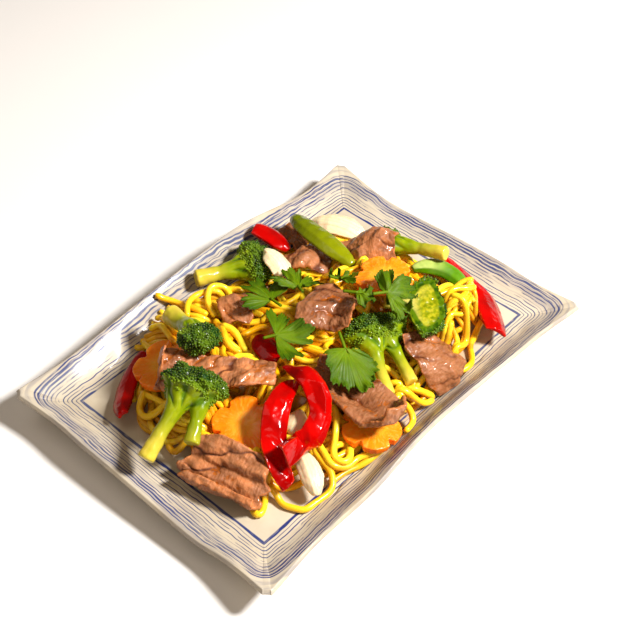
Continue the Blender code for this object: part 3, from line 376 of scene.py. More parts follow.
# %% Height maps of what lies above and below
CELL = 0.0005
REACH = (0.1355, 0.0945)
xs = np.arange(-REACH[0], REACH[0], CELL)
ys = np.arange(-REACH[1], REACH[1], CELL)
CORE_CENTRE = (0.001, 0.001)
CORE_HALF = (0.0930, 0.0600)
CORE_SHARE = 0.94
CORE_HEIGHT = 0.0086
CORE_FLATNESS = 3.2
WELL_TOP = 0.0130
MOUND_RISE = 0.0160
MOUND_ROOM = 0.0078
MOUND_SUNK = 0.0012
plate_tree = BVHTree.FromPolygons([v.co for v in plate_mesh.vertices],
                                  [p.vertices[:] for p in plate_mesh.polygons])
corner, points, faces = 0, [], []
for node in FOOD:
    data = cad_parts[node].data
    points += [v.co.copy() for v in data.vertices]
    faces += [[corner + v for v in p.vertices] for p in data.polygons]
    corner = len(points)
toppings_tree = BVHTree.FromPolygons(points, faces)


def seen_from(tree, height, direction, missing):
    """Height of the first surface met on a straight way down or up, over the whole map."""
    rows = []
    for y in ys:
        hits = [tree.ray_cast(Vector((x, y, height)), direction)[0] for x in xs]
        rows.append([hit.z if hit else missing for hit in hits])
    return np.array(rows)


def oval_edge(angle, half):
    """Distance from the middle to the edge of a squarish oval, in each direction."""
    along = np.abs(np.cos(angle) / half[0]) ** SQUARENESS
    across = np.abs(np.sin(angle) / half[1]) ** SQUARENESS
    return (along + across) ** (-1 / SQUARENESS)


def core_rise(x, y):
    """How high the low part of the heap's hidden inside stands over the well."""
    edge = oval_edge(np.arctan2(y - CORE_CENTRE[1], x - CORE_CENTRE[0]), CORE_HALF)
    share = np.clip(np.hypot(x - CORE_CENTRE[0], y - CORE_CENTRE[1]) / (edge * CORE_SHARE), 0, 1)
    return CORE_HEIGHT * (1 - share ** CORE_FLATNESS)


def over_near(field, cells, take):
    """The field with each cell taken together with its neighbours up to so many cells away."""
    for axis in (0, 1):
        field = take([np.roll(field, step, axis) for step in range(-cells, cells + 1)], axis=0)
    return field


ground = seen_from(plate_tree, 0.1, Vector((0, 0, -1)), 0.0)
ceiling = seen_from(toppings_tree, 0.0, Vector((0, 0, 1)), 1.0)
grid_x, grid_y = np.meshgrid(xs, ys)
plan_x = (grid_x - CORE_CENTRE[0]) / CORE_HALF[0]
plan_y = (grid_y - CORE_CENTRE[1]) / CORE_HALF[1]
toward_middle = np.clip(1 - plan_x ** 2 - plan_y ** 2, 0, 1)
low_core = WELL_TOP + core_rise(grid_x, grid_y)
highest = over_near(ceiling, 12, np.min) - MOUND_ROOM
mound = np.maximum(low_core, np.minimum(low_core + MOUND_RISE * toward_middle, highest))
for _ in range(2):
    mound = over_near(mound, 5, np.mean)
heap = np.maximum(ground, mound - MOUND_SUNK)
print("maps of", heap.shape, "cells; share under toppings %.2f" % (ceiling < 0.5).mean())

# %% [markdown]
# One noodle is a line of round cross-sections.  Its height comes from the map by fitting a ball
# of the noodle's thickness at each point, both on what lies below and under what hangs above.
# Cooked noodles are limp, so the heights are averaged along the line, and they press into one
# another a little.  Each has a thickness of its own, as noodles cooked and fried together do.

# %% Laying a noodle
THICK = 0.00195
STEP = 0.0015
OVER_PLATE = 0.0002
BESIDE_TOPPING = 0.0003
SHORTEST_RUN = 6
near = np.arange(-4, 5)
off_x, off_y = np.meshgrid(near, near)
ball = np.sqrt(np.maximum(THICK ** 2 - (off_x ** 2 + off_y ** 2) * CELL ** 2, 0)).ravel()
in_ball = ball > 0
off_x, off_y, ball = off_x.ravel()[in_ball], off_y.ravel()[in_ball], ball[in_ball]


def cells_near(x, y):
    column = np.clip(np.round((x + REACH[0]) / CELL).astype(int)[:, None] + off_x, 0, len(xs) - 1)
    row = np.clip(np.round((y + REACH[1]) / CELL).astype(int)[:, None] + off_y, 0, len(ys) - 1)
    return row, column


def lowest_on_plate(row, column, size):
    """Height at which a noodle just clears the plate."""
    return (ground[row, column] + ball * size).max(axis=1) + OVER_PLATE


def rest(route, press, size):
    """The route with its heights, and which of its points a noodle can pass."""
    x, y = route.T
    row, column = cells_near(x, y)
    low = (heap[row, column] + ball * size).max(axis=1) - press
    high = (ceiling[row, column] - ball * size).min(axis=1) - BESIDE_TOPPING
    z = low.copy()
    for _ in range(10):
        wide = np.concatenate([z[:1], z, z[-1:]])
        z = np.maximum(low, (wide[:-2] + 2 * z + wide[2:]) / 4)
    smooth = np.convolve(np.pad(z, 3, mode="edge"), np.ones(7) / 7, mode="valid")
    z = np.maximum(np.minimum(smooth, high), lowest_on_plate(row, column, size))
    return np.column_stack([x, y, z]), (z <= high + 0.0006)


def push_clear(line3, clear):
    """Moves points sideways away from the toppings; those still inside one are given up."""
    for _ in range(4):
        for i, point in enumerate(line3):
            spot, normal, _, gap = toppings_tree.find_nearest(Vector(point), THICK + 0.0004)
            if spot is None:
                continue
            away = Vector(point) - spot
            if away.dot(normal) < 0:
                clear[i] = False
            elif gap < THICK + BESIDE_TOPPING:
                line3[i] += np.array(away.normalized()) * (THICK + BESIDE_TOPPING - gap) * 0.8
    return line3, clear


def runs(line3, clear):
    """Unbroken stretches of a line, without the very short ones."""
    edges = np.flatnonzero(np.diff(np.concatenate([[0], clear.astype(int), [0]])))
    return [line3[a:b] for a, b in zip(edges[::2], edges[1::2]) if b - a >= SHORTEST_RUN]


laid = []


def lay_noodle(route, tone, dive, press=0.0005, size=0.95):
    """Lays one noodle, as thick as size says, and raises the map under it."""
    line3, clear = rest(np.asarray(route), press, size)
    line3, clear = push_clear(line3, clear)
    for run in runs(line3, clear):
        from_end = np.minimum(np.arange(len(run)), np.arange(len(run))[::-1]) * STEP
        run[:, 2] -= dive * (1 - between(from_end, 0, 0.009))
        row, column = cells_near(run[:, 0], run[:, 1])
        run[:, 2] = np.maximum(run[:, 2], lowest_on_plate(row, column, size))
        np.maximum.at(heap, (row, column), run[:, 2][:, None] + ball * size)
        laid.append((run, tone, size))


# %% [markdown]
# Most noodles lie by chance, each wandering in slow bends and diving out of sight at both ends, or
# running in waves along the heap's edge.  Then come bunches that lie side by side.  The ones that
# give this heap its look are laid last, on their own routes: loops that fold over the well's edge
# in front, strands to the right, and a few loose ends at the back.

# %% Routes
def even_route(points):
    """Evenly spaced points along a smooth curve through the given ones."""
    points = np.array(points)
    wide = np.vstack([2 * points[0] - points[1], points, 2 * points[-1] - points[-2]])
    t = np.linspace(0, 1, 16, endpoint=False)[:, None]
    parts = [0.5 * (2 * b + (c - a) * t + (2 * a - 5 * b + 4 * c - d) * t ** 2
                    + (3 * b - 3 * c + d - a) * t ** 3)
             for a, b, c, d in zip(wide, wide[1:], wide[2:], wide[3:])]
    fine = np.vstack(parts + [points[-1:]])
    walked = np.concatenate([[0], np.cumsum(np.linalg.norm(np.diff(fine, axis=0), axis=1))])
    stops = np.arange(0, walked[-1], STEP)
    return np.column_stack([np.interp(stops, walked, fine[:, k]) for k in (0, 1)])


START_HALF = (0.090, 0.058)
TURN_BACK_HALF = (0.094, 0.062)
SKIRT_HALF = (0.096, 0.066)


def chance_route(draw, length):
    """A noodle's own wandering lie, kept over the heap."""
    turn, reach = draw.uniform(0, 2 * math.pi), math.sqrt(draw.random())
    x, y = reach * START_HALF[0] * math.cos(turn), reach * START_HALF[1] * math.sin(turn)
    heading, swing, bend = draw.uniform(0, 2 * math.pi), draw.uniform(0, 6.3), draw.uniform(30, 75)
    route = []
    for step in range(int(length / STEP)):
        route.append((x, y))
        heading += STEP * bend * math.sin(swing + step * STEP * 70) * 1.6
        out = (x / TURN_BACK_HALF[0]) ** 2 + (y / TURN_BACK_HALF[1]) ** 2
        if out > 0.9:
            turn_back = math.atan2(-y, -x) - heading
            heading += 0.25 * math.atan2(math.sin(turn_back), math.cos(turn_back))
        x += STEP * math.cos(heading)
        y += STEP * math.sin(heading)
    return np.array(route)


# The noodles that lie on their own routes, in plan
CHOSEN_NOODLES = (
    ((-0.078, -0.034), (-0.088, -0.036), (-0.095, -0.041), (-0.096, -0.045), (-0.099, -0.049),
     (-0.101, -0.055), (-0.097, -0.055), (-0.091, -0.051), (-0.084, -0.046), (-0.077, -0.040)),
    ((-0.080, -0.030), (-0.094, -0.038), (-0.098, -0.043), (-0.094, -0.046), (-0.090, -0.047),
     (-0.086, -0.050), (-0.086, -0.055), (-0.087, -0.060), (-0.085, -0.065), (-0.082, -0.070),
     (-0.076, -0.071), (-0.069, -0.072), (-0.063, -0.072), (-0.060, -0.070), (-0.057, -0.066),
     (-0.056, -0.060), (-0.054, -0.052), (-0.048, -0.046)),
    ((-0.046, -0.044), (-0.051, -0.052), (-0.053, -0.058), (-0.055, -0.064), (-0.053, -0.067),
     (-0.048, -0.070), (-0.041, -0.070), (-0.035, -0.073), (-0.030, -0.075), (-0.023, -0.076),
     (-0.016, -0.077), (-0.010, -0.078), (-0.004, -0.077), (0.000, -0.075), (0.001, -0.070),
     (-0.003, -0.066), (-0.006, -0.060), (-0.004, -0.052)),
    ((-0.030, -0.040), (-0.033, -0.048), (-0.040, -0.054), (-0.047, -0.059), (-0.051, -0.063),
     (-0.050, -0.068), (-0.044, -0.068), (-0.038, -0.062), (-0.032, -0.056), (-0.028, -0.048)),
    ((0.062, -0.046), (0.071, -0.050), (0.078, -0.049), (0.084, -0.046), (0.091, -0.045),
     (0.096, -0.049), (0.095, -0.055), (0.089, -0.058), (0.081, -0.059), (0.075, -0.061),
     (0.068, -0.063), (0.063, -0.068), (0.057, -0.072), (0.051, -0.072), (0.045, -0.069), (0.044, -0.060)),
    ((0.040, -0.054), (0.046, -0.062), (0.053, -0.063), (0.060, -0.064), (0.066, -0.060),
     (0.070, -0.053), (0.068, -0.045)),
    ((0.006, -0.050), (0.010, -0.057), (0.012, -0.063), (0.017, -0.068), (0.024, -0.072),
     (0.031, -0.070), (0.036, -0.062)),
    ((-0.002, -0.050), (0.003, -0.060), (0.006, -0.067), (0.012, -0.072), (0.020, -0.074)),
    ((0.064, -0.029), (0.077, -0.030), (0.085, -0.031), (0.092, -0.035), (0.094, -0.041)),
    ((0.060, -0.034), (0.071, -0.036), (0.079, -0.039), (0.087, -0.041), (0.091, -0.046)),
    ((0.056, -0.040), (0.066, -0.043), (0.073, -0.045), (0.078, -0.049), (0.085, -0.051)),
    ((-0.036, 0.086), (-0.032, 0.081), (-0.029, 0.076), (-0.028, 0.070), (-0.028, 0.062), (-0.026, 0.054)),
    ((-0.004, 0.052), (-0.009, 0.060), (-0.014, 0.066), (-0.021, 0.069), (-0.029, 0.067), (-0.036, 0.060)),
    ((-0.024, 0.050), (-0.020, 0.060), (-0.012, 0.065), (-0.006, 0.060), (-0.004, 0.052)),
    ((-0.060, 0.072), (-0.061, 0.067), (-0.063, 0.058), (-0.060, 0.048), (-0.054, 0.042)),
    ((-0.053, 0.074), (-0.049, 0.070), (-0.052, 0.061), (-0.055, 0.052), (-0.052, 0.044)),
    ((-0.045, 0.077), (-0.043, 0.073), (-0.047, 0.064), (-0.049, 0.054), (-0.046, 0.046)),
    ((-0.089, 0.042), (-0.090, 0.036), (-0.089, 0.029), (-0.089, 0.022), (-0.083, 0.016)),
    ((-0.084, 0.040), (-0.094, 0.037), (-0.098, 0.034), (-0.098, 0.027), (-0.090, 0.022), (-0.082, 0.024)),
    ((-0.026, 0.048), (-0.029, 0.042), (-0.034, 0.034), (-0.039, 0.025), (-0.036, 0.017)),
    ((-0.031, 0.038), (-0.029, 0.031), (-0.030, 0.025), (-0.033, 0.018)),
    ((-0.073, 0.021), (-0.076, 0.013), (-0.076, 0.006), (-0.074, -0.001), (-0.068, -0.005)),
    ((-0.062, 0.011), (-0.054, 0.005), (-0.049, -0.003), (-0.042, -0.009)),
    ((-0.101, 0.010), (-0.102, 0.003), (-0.096, 0.000), (-0.088, 0.001), (-0.080, 0.003)),
)

# Runs of noodles that lie side by side: a first line, the step from one to the next, how many
BUNCHES = (
    (((0.060, -0.018), (0.070, -0.022), (0.080, -0.026), (0.088, -0.032), (0.090, -0.042)),
     (-0.0034, -0.0035), 5),
    (((0.062, -0.032), (0.076, -0.034), (0.084, -0.032), (0.092, -0.034), (0.098, -0.039)),
     (-0.0020, -0.0027), 8),
    (((0.064, -0.035), (0.074, -0.033), (0.082, -0.036), (0.090, -0.035), (0.096, -0.033)),
     (-0.0023, -0.0030), 7),
    (((0.090, -0.036), (0.087, -0.045), (0.081, -0.048), (0.079, -0.051), (0.077, -0.057)),
     (0.0038, -0.0006), 3),
    (((-0.078, 0.044), (-0.086, 0.034), (-0.090, 0.024), (-0.093, 0.012), (-0.090, 0.000)),
     (0.0042, -0.0018), 5),
    (((-0.062, 0.060), (-0.056, 0.052), (-0.052, 0.044), (-0.050, 0.034)), (0.0050, 0.0022), 5),
    (((-0.026, 0.070), (-0.018, 0.066), (-0.012, 0.058), (-0.010, 0.046)), (0.0040, -0.0012), 4),
    (((-0.078, -0.010), (-0.084, -0.020), (-0.086, -0.032), (-0.080, -0.044)), (0.0044, 0.0004), 4),
    (((-0.044, -0.050), (-0.036, -0.058), (-0.026, -0.064), (-0.014, -0.068), (0.000, -0.068)),
     (0.0012, 0.0044), 4),
    (((0.020, -0.066), (0.030, -0.067), (0.042, -0.064), (0.052, -0.062), (0.060, -0.058)),
     (-0.0004, 0.0044), 3),
    (((-0.094, 0.050), (-0.088, 0.056), (-0.078, 0.058), (-0.070, 0.064)), (0.0016, -0.0042), 4),
    (((-0.064, 0.074), (-0.058, 0.066), (-0.056, 0.056), (-0.060, 0.046)), (0.0042, 0.0008), 5),
    (((-0.038, 0.080), (-0.034, 0.070), (-0.030, 0.060), (-0.024, 0.050)), (0.0042, -0.0006), 4),
    (((-0.060, -0.068), (-0.048, -0.071), (-0.036, -0.074), (-0.024, -0.076)), (0.0010, 0.0042), 4),
)


def skirt_route(draw):
    """A noodle that runs in waves along the heap's edge."""
    begin, swing = draw.uniform(0, 2 * math.pi), draw.uniform(0, 2 * math.pi)
    span, share, wave = draw.uniform(0.5, 1.1), draw.uniform(0.84, 1.02), draw.uniform(0.03, 0.10)
    angle = begin + np.linspace(0, span, 14)
    out = share + wave * np.sin(angle * 9 + swing)
    edge = oval_edge(angle, SKIRT_HALF)
    return even_route(np.column_stack([out * edge * np.cos(angle), out * edge * np.sin(angle)]))


WANDERING = 136
SKIRTING = 56
RIGHT_SIDE = 0.055
draw = random.Random(5)
for index in range(WANDERING):
    lay_noodle(chance_route(draw, draw.uniform(0.05, 0.10)), draw.random(), dive=0.0030, press=0.0012,
               size=draw.uniform(0.78, 0.98))
for index in range(SKIRTING):
    lay_noodle(skirt_route(draw), draw.random(), dive=0.0026, press=0.0010, size=draw.uniform(0.80, 0.98))
for first, step, count in BUNCHES:
    slim = 0.74 if first[0][0] > RIGHT_SIDE else 0.90
    for index in range(count):
        shift = np.array(step) * index + [draw.uniform(-0.0008, 0.0008), draw.uniform(-0.0008, 0.0008)]
        bent = [(x + draw.uniform(-0.001, 0.001), y + draw.uniform(-0.001, 0.001)) for x, y in first]
        lay_noodle(even_route(np.array(bent) + shift), draw.uniform(0.3, 1.0), dive=0.0030, press=0.0008,
                   size=slim * draw.uniform(0.94, 1.06))
for route in CHOSEN_NOODLES:
    lay_noodle(even_route(route), draw.uniform(0.4, 1.0), dive=0.0012)
print(len(laid), "noodles,", round(sum(len(run) for run, _, _ in laid) * STEP, 2), "m in all")

# %% [markdown]
# Each line becomes a tube with round ends.  A fried noodle isn't quite even: it is a little
# thicker in some places, and it turns on itself.  For every point the mesh keeps the noodle's own
# tone and how deep it lies below the heap's top, and the finish paints shade in the depths.

# %% Tubes along the lines
SIDES = 8


def tube(line3, seed, size):
    """Points of a round strand along a line, with its two ends closed by narrowing rings."""
    count = len(line3)
    smooth = line3.copy()
    for _ in range(2):
        smooth[1:-1] = (smooth[:-2] + 2 * smooth[1:-1] + smooth[2:]) / 4
    along = np.gradient(smooth, axis=0)
    along /= np.linalg.norm(along, axis=1)[:, None]
    side = np.cross(along, [0, 0, 1.0])
    side /= np.linalg.norm(side, axis=1)[:, None]
    up = np.cross(side, along)
    position = np.arange(count)
    thick = THICK * size * (1 + 0.05 * np.sin(position * 0.31 + seed)
                            + 0.03 * np.sin(position * 0.83 + 2 * seed))
    from_end = np.minimum(position, position[::-1]) * STEP
    thick *= np.sqrt(np.clip(1 - (1 - np.clip((from_end + 0.0004) / THICK, 0, 1)) ** 2, 0.05, 1))
    angle = 2 * np.pi * np.arange(SIDES) / SIDES + 0.2 * seed
    spread = np.cos(angle)[None, :, None] * side[:, None] + np.sin(angle)[None, :, None] * up[:, None]
    return smooth[:, None] + thick[:, None, None] * spread


def tube_faces(count):
    """Quads round a strand, and one many-sided face at each end."""
    row, turn = np.meshgrid(np.arange(count - 1), np.arange(SIDES), indexing="ij")
    a = (row * SIDES + turn).ravel()
    b = (row * SIDES + (turn + 1) % SIDES).ravel()
    quads = np.column_stack([a, b, b + SIDES, a + SIDES]).tolist()
    return quads + [list(range(SIDES))[::-1], [SIDES * (count - 1) + k for k in range(SIDES)]]


def strands(name, chosen):
    """Many noodles as one mesh."""
    points, faces, tones, depths, first = [], [], [], [], 0
    for index, (line3, tone, size) in enumerate(chosen):
        ring = tube(line3, index, size)
        row, column = cells_near(line3[:, 0], line3[:, 1])
        depth = heap[row, column].max(axis=1) - line3[:, 2] - THICK
        points.append(ring.reshape(-1, 3))
        faces += [[first + v for v in face] for face in tube_faces(len(line3))]
        tones += [tone] * (len(line3) * SIDES)
        depths += np.repeat(depth, SIDES).tolist()
        first += len(line3) * SIDES
    mesh = bpy.data.meshes.new(name)
    mesh.from_pydata(np.vstack(points).tolist(), [], faces)
    store(mesh, "tone", tones)
    store(mesh, "depth", np.array(depths) / THICK)
    return mesh


noodle_mesh = strands("noodles_laid", laid)
print("noodles:", sum(len(p.vertices) - 2 for p in noodle_mesh.polygons), "triangles")

# %% [markdown]
# Egg noodles fried with soy and oil are golden.  They glow a little where light goes through them,
# and a thin film of oil gives them long highlights.

# %% Noodle finish
def noodle_look(name, shade):
    look = Look(name, Coat_Weight=0.26, Coat_Roughness=0.12, Specular_IOR_Level=0.26, Subsurface_Weight=0.30,
                Subsurface_Scale=0.004)
    look.shader.inputs["Subsurface Radius"].default_value = (1.0, 0.6, 0.2)
    stained = look.paint(srgb(242, 174, 8), ((255, 216, 44), "tone", 0.0, 1.0),
                         ((226, 146, 10), look.noise(70.0, 3.0), 0.50, 0.72, 0.0, 0.7))
    # Painted shade: noodles that lie deeper in the heap are painted darker brown.
    depth_shade = look.rise(look.number("depth"), 0.3, 3.0, 0.0, 0.5)
    look.set(Base_Color=look.mix(look.math("MAXIMUM", depth_shade, shade), stained, srgb(184, 110, 4)),
             Roughness=look.rise(look.noise(400.0, 2.0), 0.3, 0.7, 0.26, 0.42))
    look.bump(look.noise(900.0, 2.0), 0.0002, 0.35)
    return look.material


show("noodle_strands", noodle_mesh, noodle_look("fried_egg_noodle", 0.0), "egg_noodle", "noodles")

# %% [markdown]
# Here and there a gap between noodles lets the inside of the heap show.  It is the mound of the
# height map, made as rings from the middle outwards and sunk a little below the noodles.  Its
# colour is that of noodles in deep shade.

# %% Inside of the heap
CORE_RINGS = 24
CORE_SIDES = 96
CORE_REACH = (0.094, 0.061)
CORE_SUNK = 0.0014
core_steps = np.linspace(0.02, 1.0, CORE_RINGS)
ring_angle = np.linspace(0, 2 * np.pi, CORE_SIDES, endpoint=False)
core_x = CORE_CENTRE[0] + CORE_REACH[0] * core_steps[:, None] * np.cos(ring_angle) * CORE_SHARE
core_y = CORE_CENTRE[1] + CORE_REACH[1] * core_steps[:, None] * np.sin(ring_angle) * CORE_SHARE
core_column = np.round((core_x + REACH[0]) / CELL).astype(int)
core_row = np.round((core_y + REACH[1]) / CELL).astype(int)
core_z = mound[core_row, core_column] - CORE_SUNK
core_points = np.column_stack([core_x.ravel(), core_y.ravel(), core_z.ravel()])
quads = []
for r in range(CORE_RINGS - 1):
    for k in range(CORE_SIDES):
        here, there, after = r * CORE_SIDES, (r + 1) * CORE_SIDES, (k + 1) % CORE_SIDES
        quads.append([here + k, there + k, there + after, here + after])
core_mesh = bpy.data.meshes.new("heap_core")
core_mesh.from_pydata(core_points.tolist(), [], quads + [list(range(CORE_SIDES))])
store(core_mesh, "tone", np.zeros(len(core_points)))
store(core_mesh, "depth", np.full(len(core_points), 3.0))
show("heap_core", core_mesh, noodle_look("noodles_in_shade", 0.8), "egg_noodle", "noodles")
print("core:", len(core_points), "points, up to", round(float(core_z.max()) * 1000, 1), "mm high")

# %% [markdown]
# ## A film of sauce
# The beef and the carrots share one effect.  Where a film of sauce lies, the colour turns warmer
# and the surface turns smooth.  It is a node group, and each food gives it the places where sauce
# gathers, the colour of the sauce and how much of it there is.

# %% Film of sauce
COLOUR, NUMBER, VECTOR = "NodeSocketColor", "NodeSocketFloat", "NodeSocketVector"


def group(name, takes, gives):
    """An empty node group, with the names and kinds of what goes in and what comes out."""
    tree = bpy.data.node_groups.new(name, "ShaderNodeTree")
    for way, sockets in (("INPUT", takes), ("OUTPUT", gives)):
        for label, kind in sockets.items():
            tree.interface.new_socket(label, in_out=way, socket_type=kind)
    return tree, tree.nodes.new("NodeGroupInput").outputs, tree.nodes.new("NodeGroupOutput").inputs


sauce_group, given, result = group(
    "sauce_film", {"Colour": COLOUR, "Sauce": COLOUR, "Place": VECTOR, "Pool": NUMBER,
                   "Amount": NUMBER, "Dry": NUMBER, "Wet": NUMBER},
    {"Colour": COLOUR, "Roughness": NUMBER})
spread = wire(sauce_group, "ShaderNodeTexNoise",
              [("Vector", given["Place"]), ("Scale", 160.0), ("Detail", 3.0)])
reach = wire(sauce_group, "ShaderNodeMath", [(0, spread.outputs["Fac"]), (1, given["Pool"])],
             operation="ADD")
film = wire(sauce_group, "ShaderNodeMapRange",
            [("Value", reach.outputs[0]), ("From Min", 0.62), ("From Max", 1.15)],
            interpolation_type="SMOOTHSTEP")
share = wire(sauce_group, "ShaderNodeMath", [(0, film.outputs["Result"]), (1, given["Amount"])],
             operation="MULTIPLY")
tint = wire(sauce_group, "ShaderNodeMix",
            [(0, share.outputs[0]), (6, given["Colour"]), (7, given["Sauce"])], data_type="RGBA")
gloss = wire(sauce_group, "ShaderNodeMapRange",
             [("Value", film.outputs["Result"]), ("To Min", given["Dry"]), ("To Max", given["Wet"])])
feed(sauce_group, result["Colour"], tint.outputs[2])
feed(sauce_group, result["Roughness"], gloss.outputs["Result"])


def sauced(look, colour, pool, amount, dry, wet, sauce):
    """Finishes a look with the film of sauce over its colour, rough where dry and smooth where wet."""
    node = look.add("ShaderNodeGroup", [("Colour", colour), ("Sauce", srgb(*sauce)), ("Place", look.place),
                                        ("Pool", pool), ("Amount", amount), ("Dry", dry), ("Wet", wet)],
                    node_tree=sauce_group)
    look.set(Base_Color=node.outputs["Colour"], Roughness=node.outputs["Roughness"])


# %% [markdown]
# ## The beef
# The beef was cut thin across the grain and fried fast, so each slice has shrunk into folds and
# fine wrinkles.  The folds are moulded into the skin as round backs with sharp valleys between them,
# as cloth pushed together has.  Each slice gives its own direction, width and depth for them.
# Shorter creases and a grain of small dots lie over that, and fine fibres run across the slice in
# its colour.  Points that lie lower than those around them are hollows, and there the sauce
# gathers.  The valleys of the folds and the underside carry painted shade, the crests a faint
# painted highlight.  Some slices also carry a glaze in orange streaks, which also serves as painted
# light that makes those slices lighter.

# %% Beef
def edge_share(mesh, normals):
    """1 on a thin edge and 0 on a broad side: at an edge the directions near a point disagree."""
    near = np.column_stack([neighbour_mean(mesh, normals[:, k], 3) for k in range(3)])
    return 1 - between(np.linalg.norm(near, axis=1), 0.86, 0.985)


# Turn of the folds from the slice's length in degrees, their width and their depth
FOLDS = {"beef_front_left": (8, 0.0078, 0.0017), "beef_front": (4, 0.0150, 0.0014),
         "beef_left": (58, 0.0074, 0.0013), "beef_centre": (35, 0.0105, 0.0014),
         "beef_front_right": (70, 0.0120, 0.0010), "beef_right": (18, 0.0170, 0.0010),
         "beef_back": (64, 0.0095, 0.0013)}
USUAL_FOLDS = (40, 0.0085, 0.0012)
# Per slice, how much orange glaze in streaks it carries; the glaze also serves as painted light that makes
# these slices lighter.
GLAZE_AND_PAINTED_LIGHT = {"beef_front_left": 0.30, "beef_left": 0.36, "beef_right": 0.20, "beef_back": 0.20,
          "beef_back_left": 0.20}


def wrinkled(node):
    """A slice of beef with its folds, creases and grain."""
    mesh = fine_skin(node, 0.00055, 6)
    points, normals = get_points(mesh), get_normals(mesh)
    flat, _ = own_frame(points)
    turn, width, depth = FOLDS.get(node, USUAL_FOLDS)
    across = flat[:, 0] * math.sin(math.radians(turn)) + flat[:, 1] * math.cos(math.radians(turn))
    across += 0.0072 * bumps(points, 45, 1) + 0.0044 * bumps(points, 90, 7) + 0.0018 * bumps(points, 190, 8)
    back = np.abs(np.sin(np.pi * across / width)) ** 0.7
    back = 1 - (0.35 + 0.65 * between(bumps(points, 42, 9), -0.35, 0.35)) * (1 - back)
    bent = flat + 0.003 * bumps(points, 80, 6)[:, None]
    creases = ridges(bent, (110, 260, 200), 3) + 0.7 * ridges(bent, (420, 300, 300), 5)
    grain = 0.00020 * bumps(points, 460, 4) + 0.00012 * bumps(points, 900, 5)
    height = depth * (back - 0.72) + 0.00030 * (creases - 0.8) + grain
    hollow = neighbour_mean(mesh, height, 14) - height
    set_points(mesh, points + normals * height[:, None])
    store(mesh, "pool", between(hollow, -0.00004, 0.00028) * between(normals[:, 2], 0.1, 0.8))
    store(mesh, "crest", between(height, 0.0, 0.0006))
    store(mesh, "fold", 1 - back)
    store(mesh, "fibre_x", 900 * (flat[:, 0] + 0.002 * bumps(points, 60, 2)))
    store(mesh, "fibre_y", 160 * flat[:, 1])
    store(mesh, "under", between(-normals[:, 2], 0.0, 0.6))
    store(mesh, "edge", edge_share(mesh, normals))
    store(mesh, "glazed", np.full(len(points), GLAZE_AND_PAINTED_LIGHT.get(node, 0.0)))
    return mesh


beef = Look("fried_beef", Coat_Weight=0.30, Coat_Roughness=0.08, Specular_IOR_Level=0.25,
            Subsurface_Weight=0.08, Subsurface_Scale=0.002)
fibres = beef.noise(1.0, 3.0, beef.vector(beef.number("fibre_x"), beef.number("fibre_y")), 0.5)
# Painted highlight: the crests are painted a little lighter.
meat = beef.paint(srgb(153, 95, 57), ((111, 60, 29), beef.noise(45.0, 3.0), 0.35, 0.65),
                  ((173, 114, 76), beef.noise(140.0, 4.0), 0.52, 0.70, 0.0, 0.6),
                  ((188, 130, 93), fibres, 0.52, 0.74, 0.0, 0.30),
                  ((175, 118, 80), "crest", 0.3, 1.0, 0.0, 0.3))
# Orange glaze streaks, also painted light that lightens the slices named above.
glaze_and_light_streaks = beef.rise(beef.noise(120.0, 4.0), 0.42, 0.62, 0.15, 1.7)
meat = beef.mix(beef.math("MULTIPLY", beef.number("glazed"), glaze_and_light_streaks), meat, srgb(224, 140, 84))
# Painted shade: the valleys of the folds and the slice's underside are painted dark.
meat = beef.paint(meat, ((78, 32, 12), "fold", 0.35, 0.80, 0.0, 0.9),
                  ((198, 112, 50), "edge", 0.3, 1.0, 0.0, 0.45),
                  ((98, 46, 22), "under", 0.0, 1.0, 0.0, 0.6))
sauced_spots = beef.math("MULTIPLY", beef.number("pool"), beef.rise(beef.noise(38.0, 2.0), 0.42, 0.58))
sauced(beef, meat, sauced_spots, 0.70, 0.50, 0.12, (164, 84, 18))
beef.bump(beef.math("ADD", fibres, beef.noise(520.0, 3.0)), 0.0006, 0.7)
show_kind("beef", "_slice", wrinkled, beef, "fried_beef")

# %% [markdown]
# ## The broccoli
# A floret is a smooth pale stem that branches into a dark head of closed buds.  The head is lumpy
# first, because the buds grow in clusters, and then covered with the buds themselves, each a small
# round grain set on the surface, with a painted highlight on its tip.  Where a cluster ends there
# is a valley, painted dark as painted shade.

# %% Buds
def scatter_over(mesh, wanted, spacing, seed):
    """Points spread over the faces of a mesh where wanted says so, no two closer than spacing."""
    points = get_points(mesh)
    draw = np.random.default_rng(seed)
    order = draw.permutation(len(points))
    order = order[wanted[order]]
    taken, spots = {}, []
    for i in order:
        spot = points[i]
        key = tuple(np.floor(spot / spacing).astype(int))
        close = [taken[k] for k in ((key[0] + a, key[1] + b, key[2] + c) for a in (-1, 0, 1)
                                    for b in (-1, 0, 1) for c in (-1, 0, 1)) if k in taken]
        if all(((spot - points[j]) ** 2).sum() > spacing ** 2 for j in close):
            taken[key] = i
            spots.append(i)
    return np.array(spots)


# A bud is a tip, a ring of six points below it, and a wider ring on the skin, turned by half a step
BUD = [(0, 0, 1.0)]
BUD += [(0.62 * math.cos(k * math.pi / 3), 0.62 * math.sin(k * math.pi / 3), 0.75) for k in range(6)]
BUD += [(math.cos((k + 0.5) * math.pi / 3), math.sin((k + 0.5) * math.pi / 3), 0.0) for k in range(6)]
# Painted highlight: each bud's tip is painted lighter, its first ring a little less.
BUD_TIP_HIGHLIGHT = [1.0] + [0.7] * 6 + [0.0] * 6
BUD_FACES = [(0, 1 + k, 1 + (k + 1) % 6) for k in range(6)]
BUD_FACES += [(1 + k, 7 + k, 1 + (k + 1) % 6) for k in range(6)]
BUD_FACES += [(7 + k, 7 + (k + 1) % 6, 1 + (k + 1) % 6) for k in range(6)]


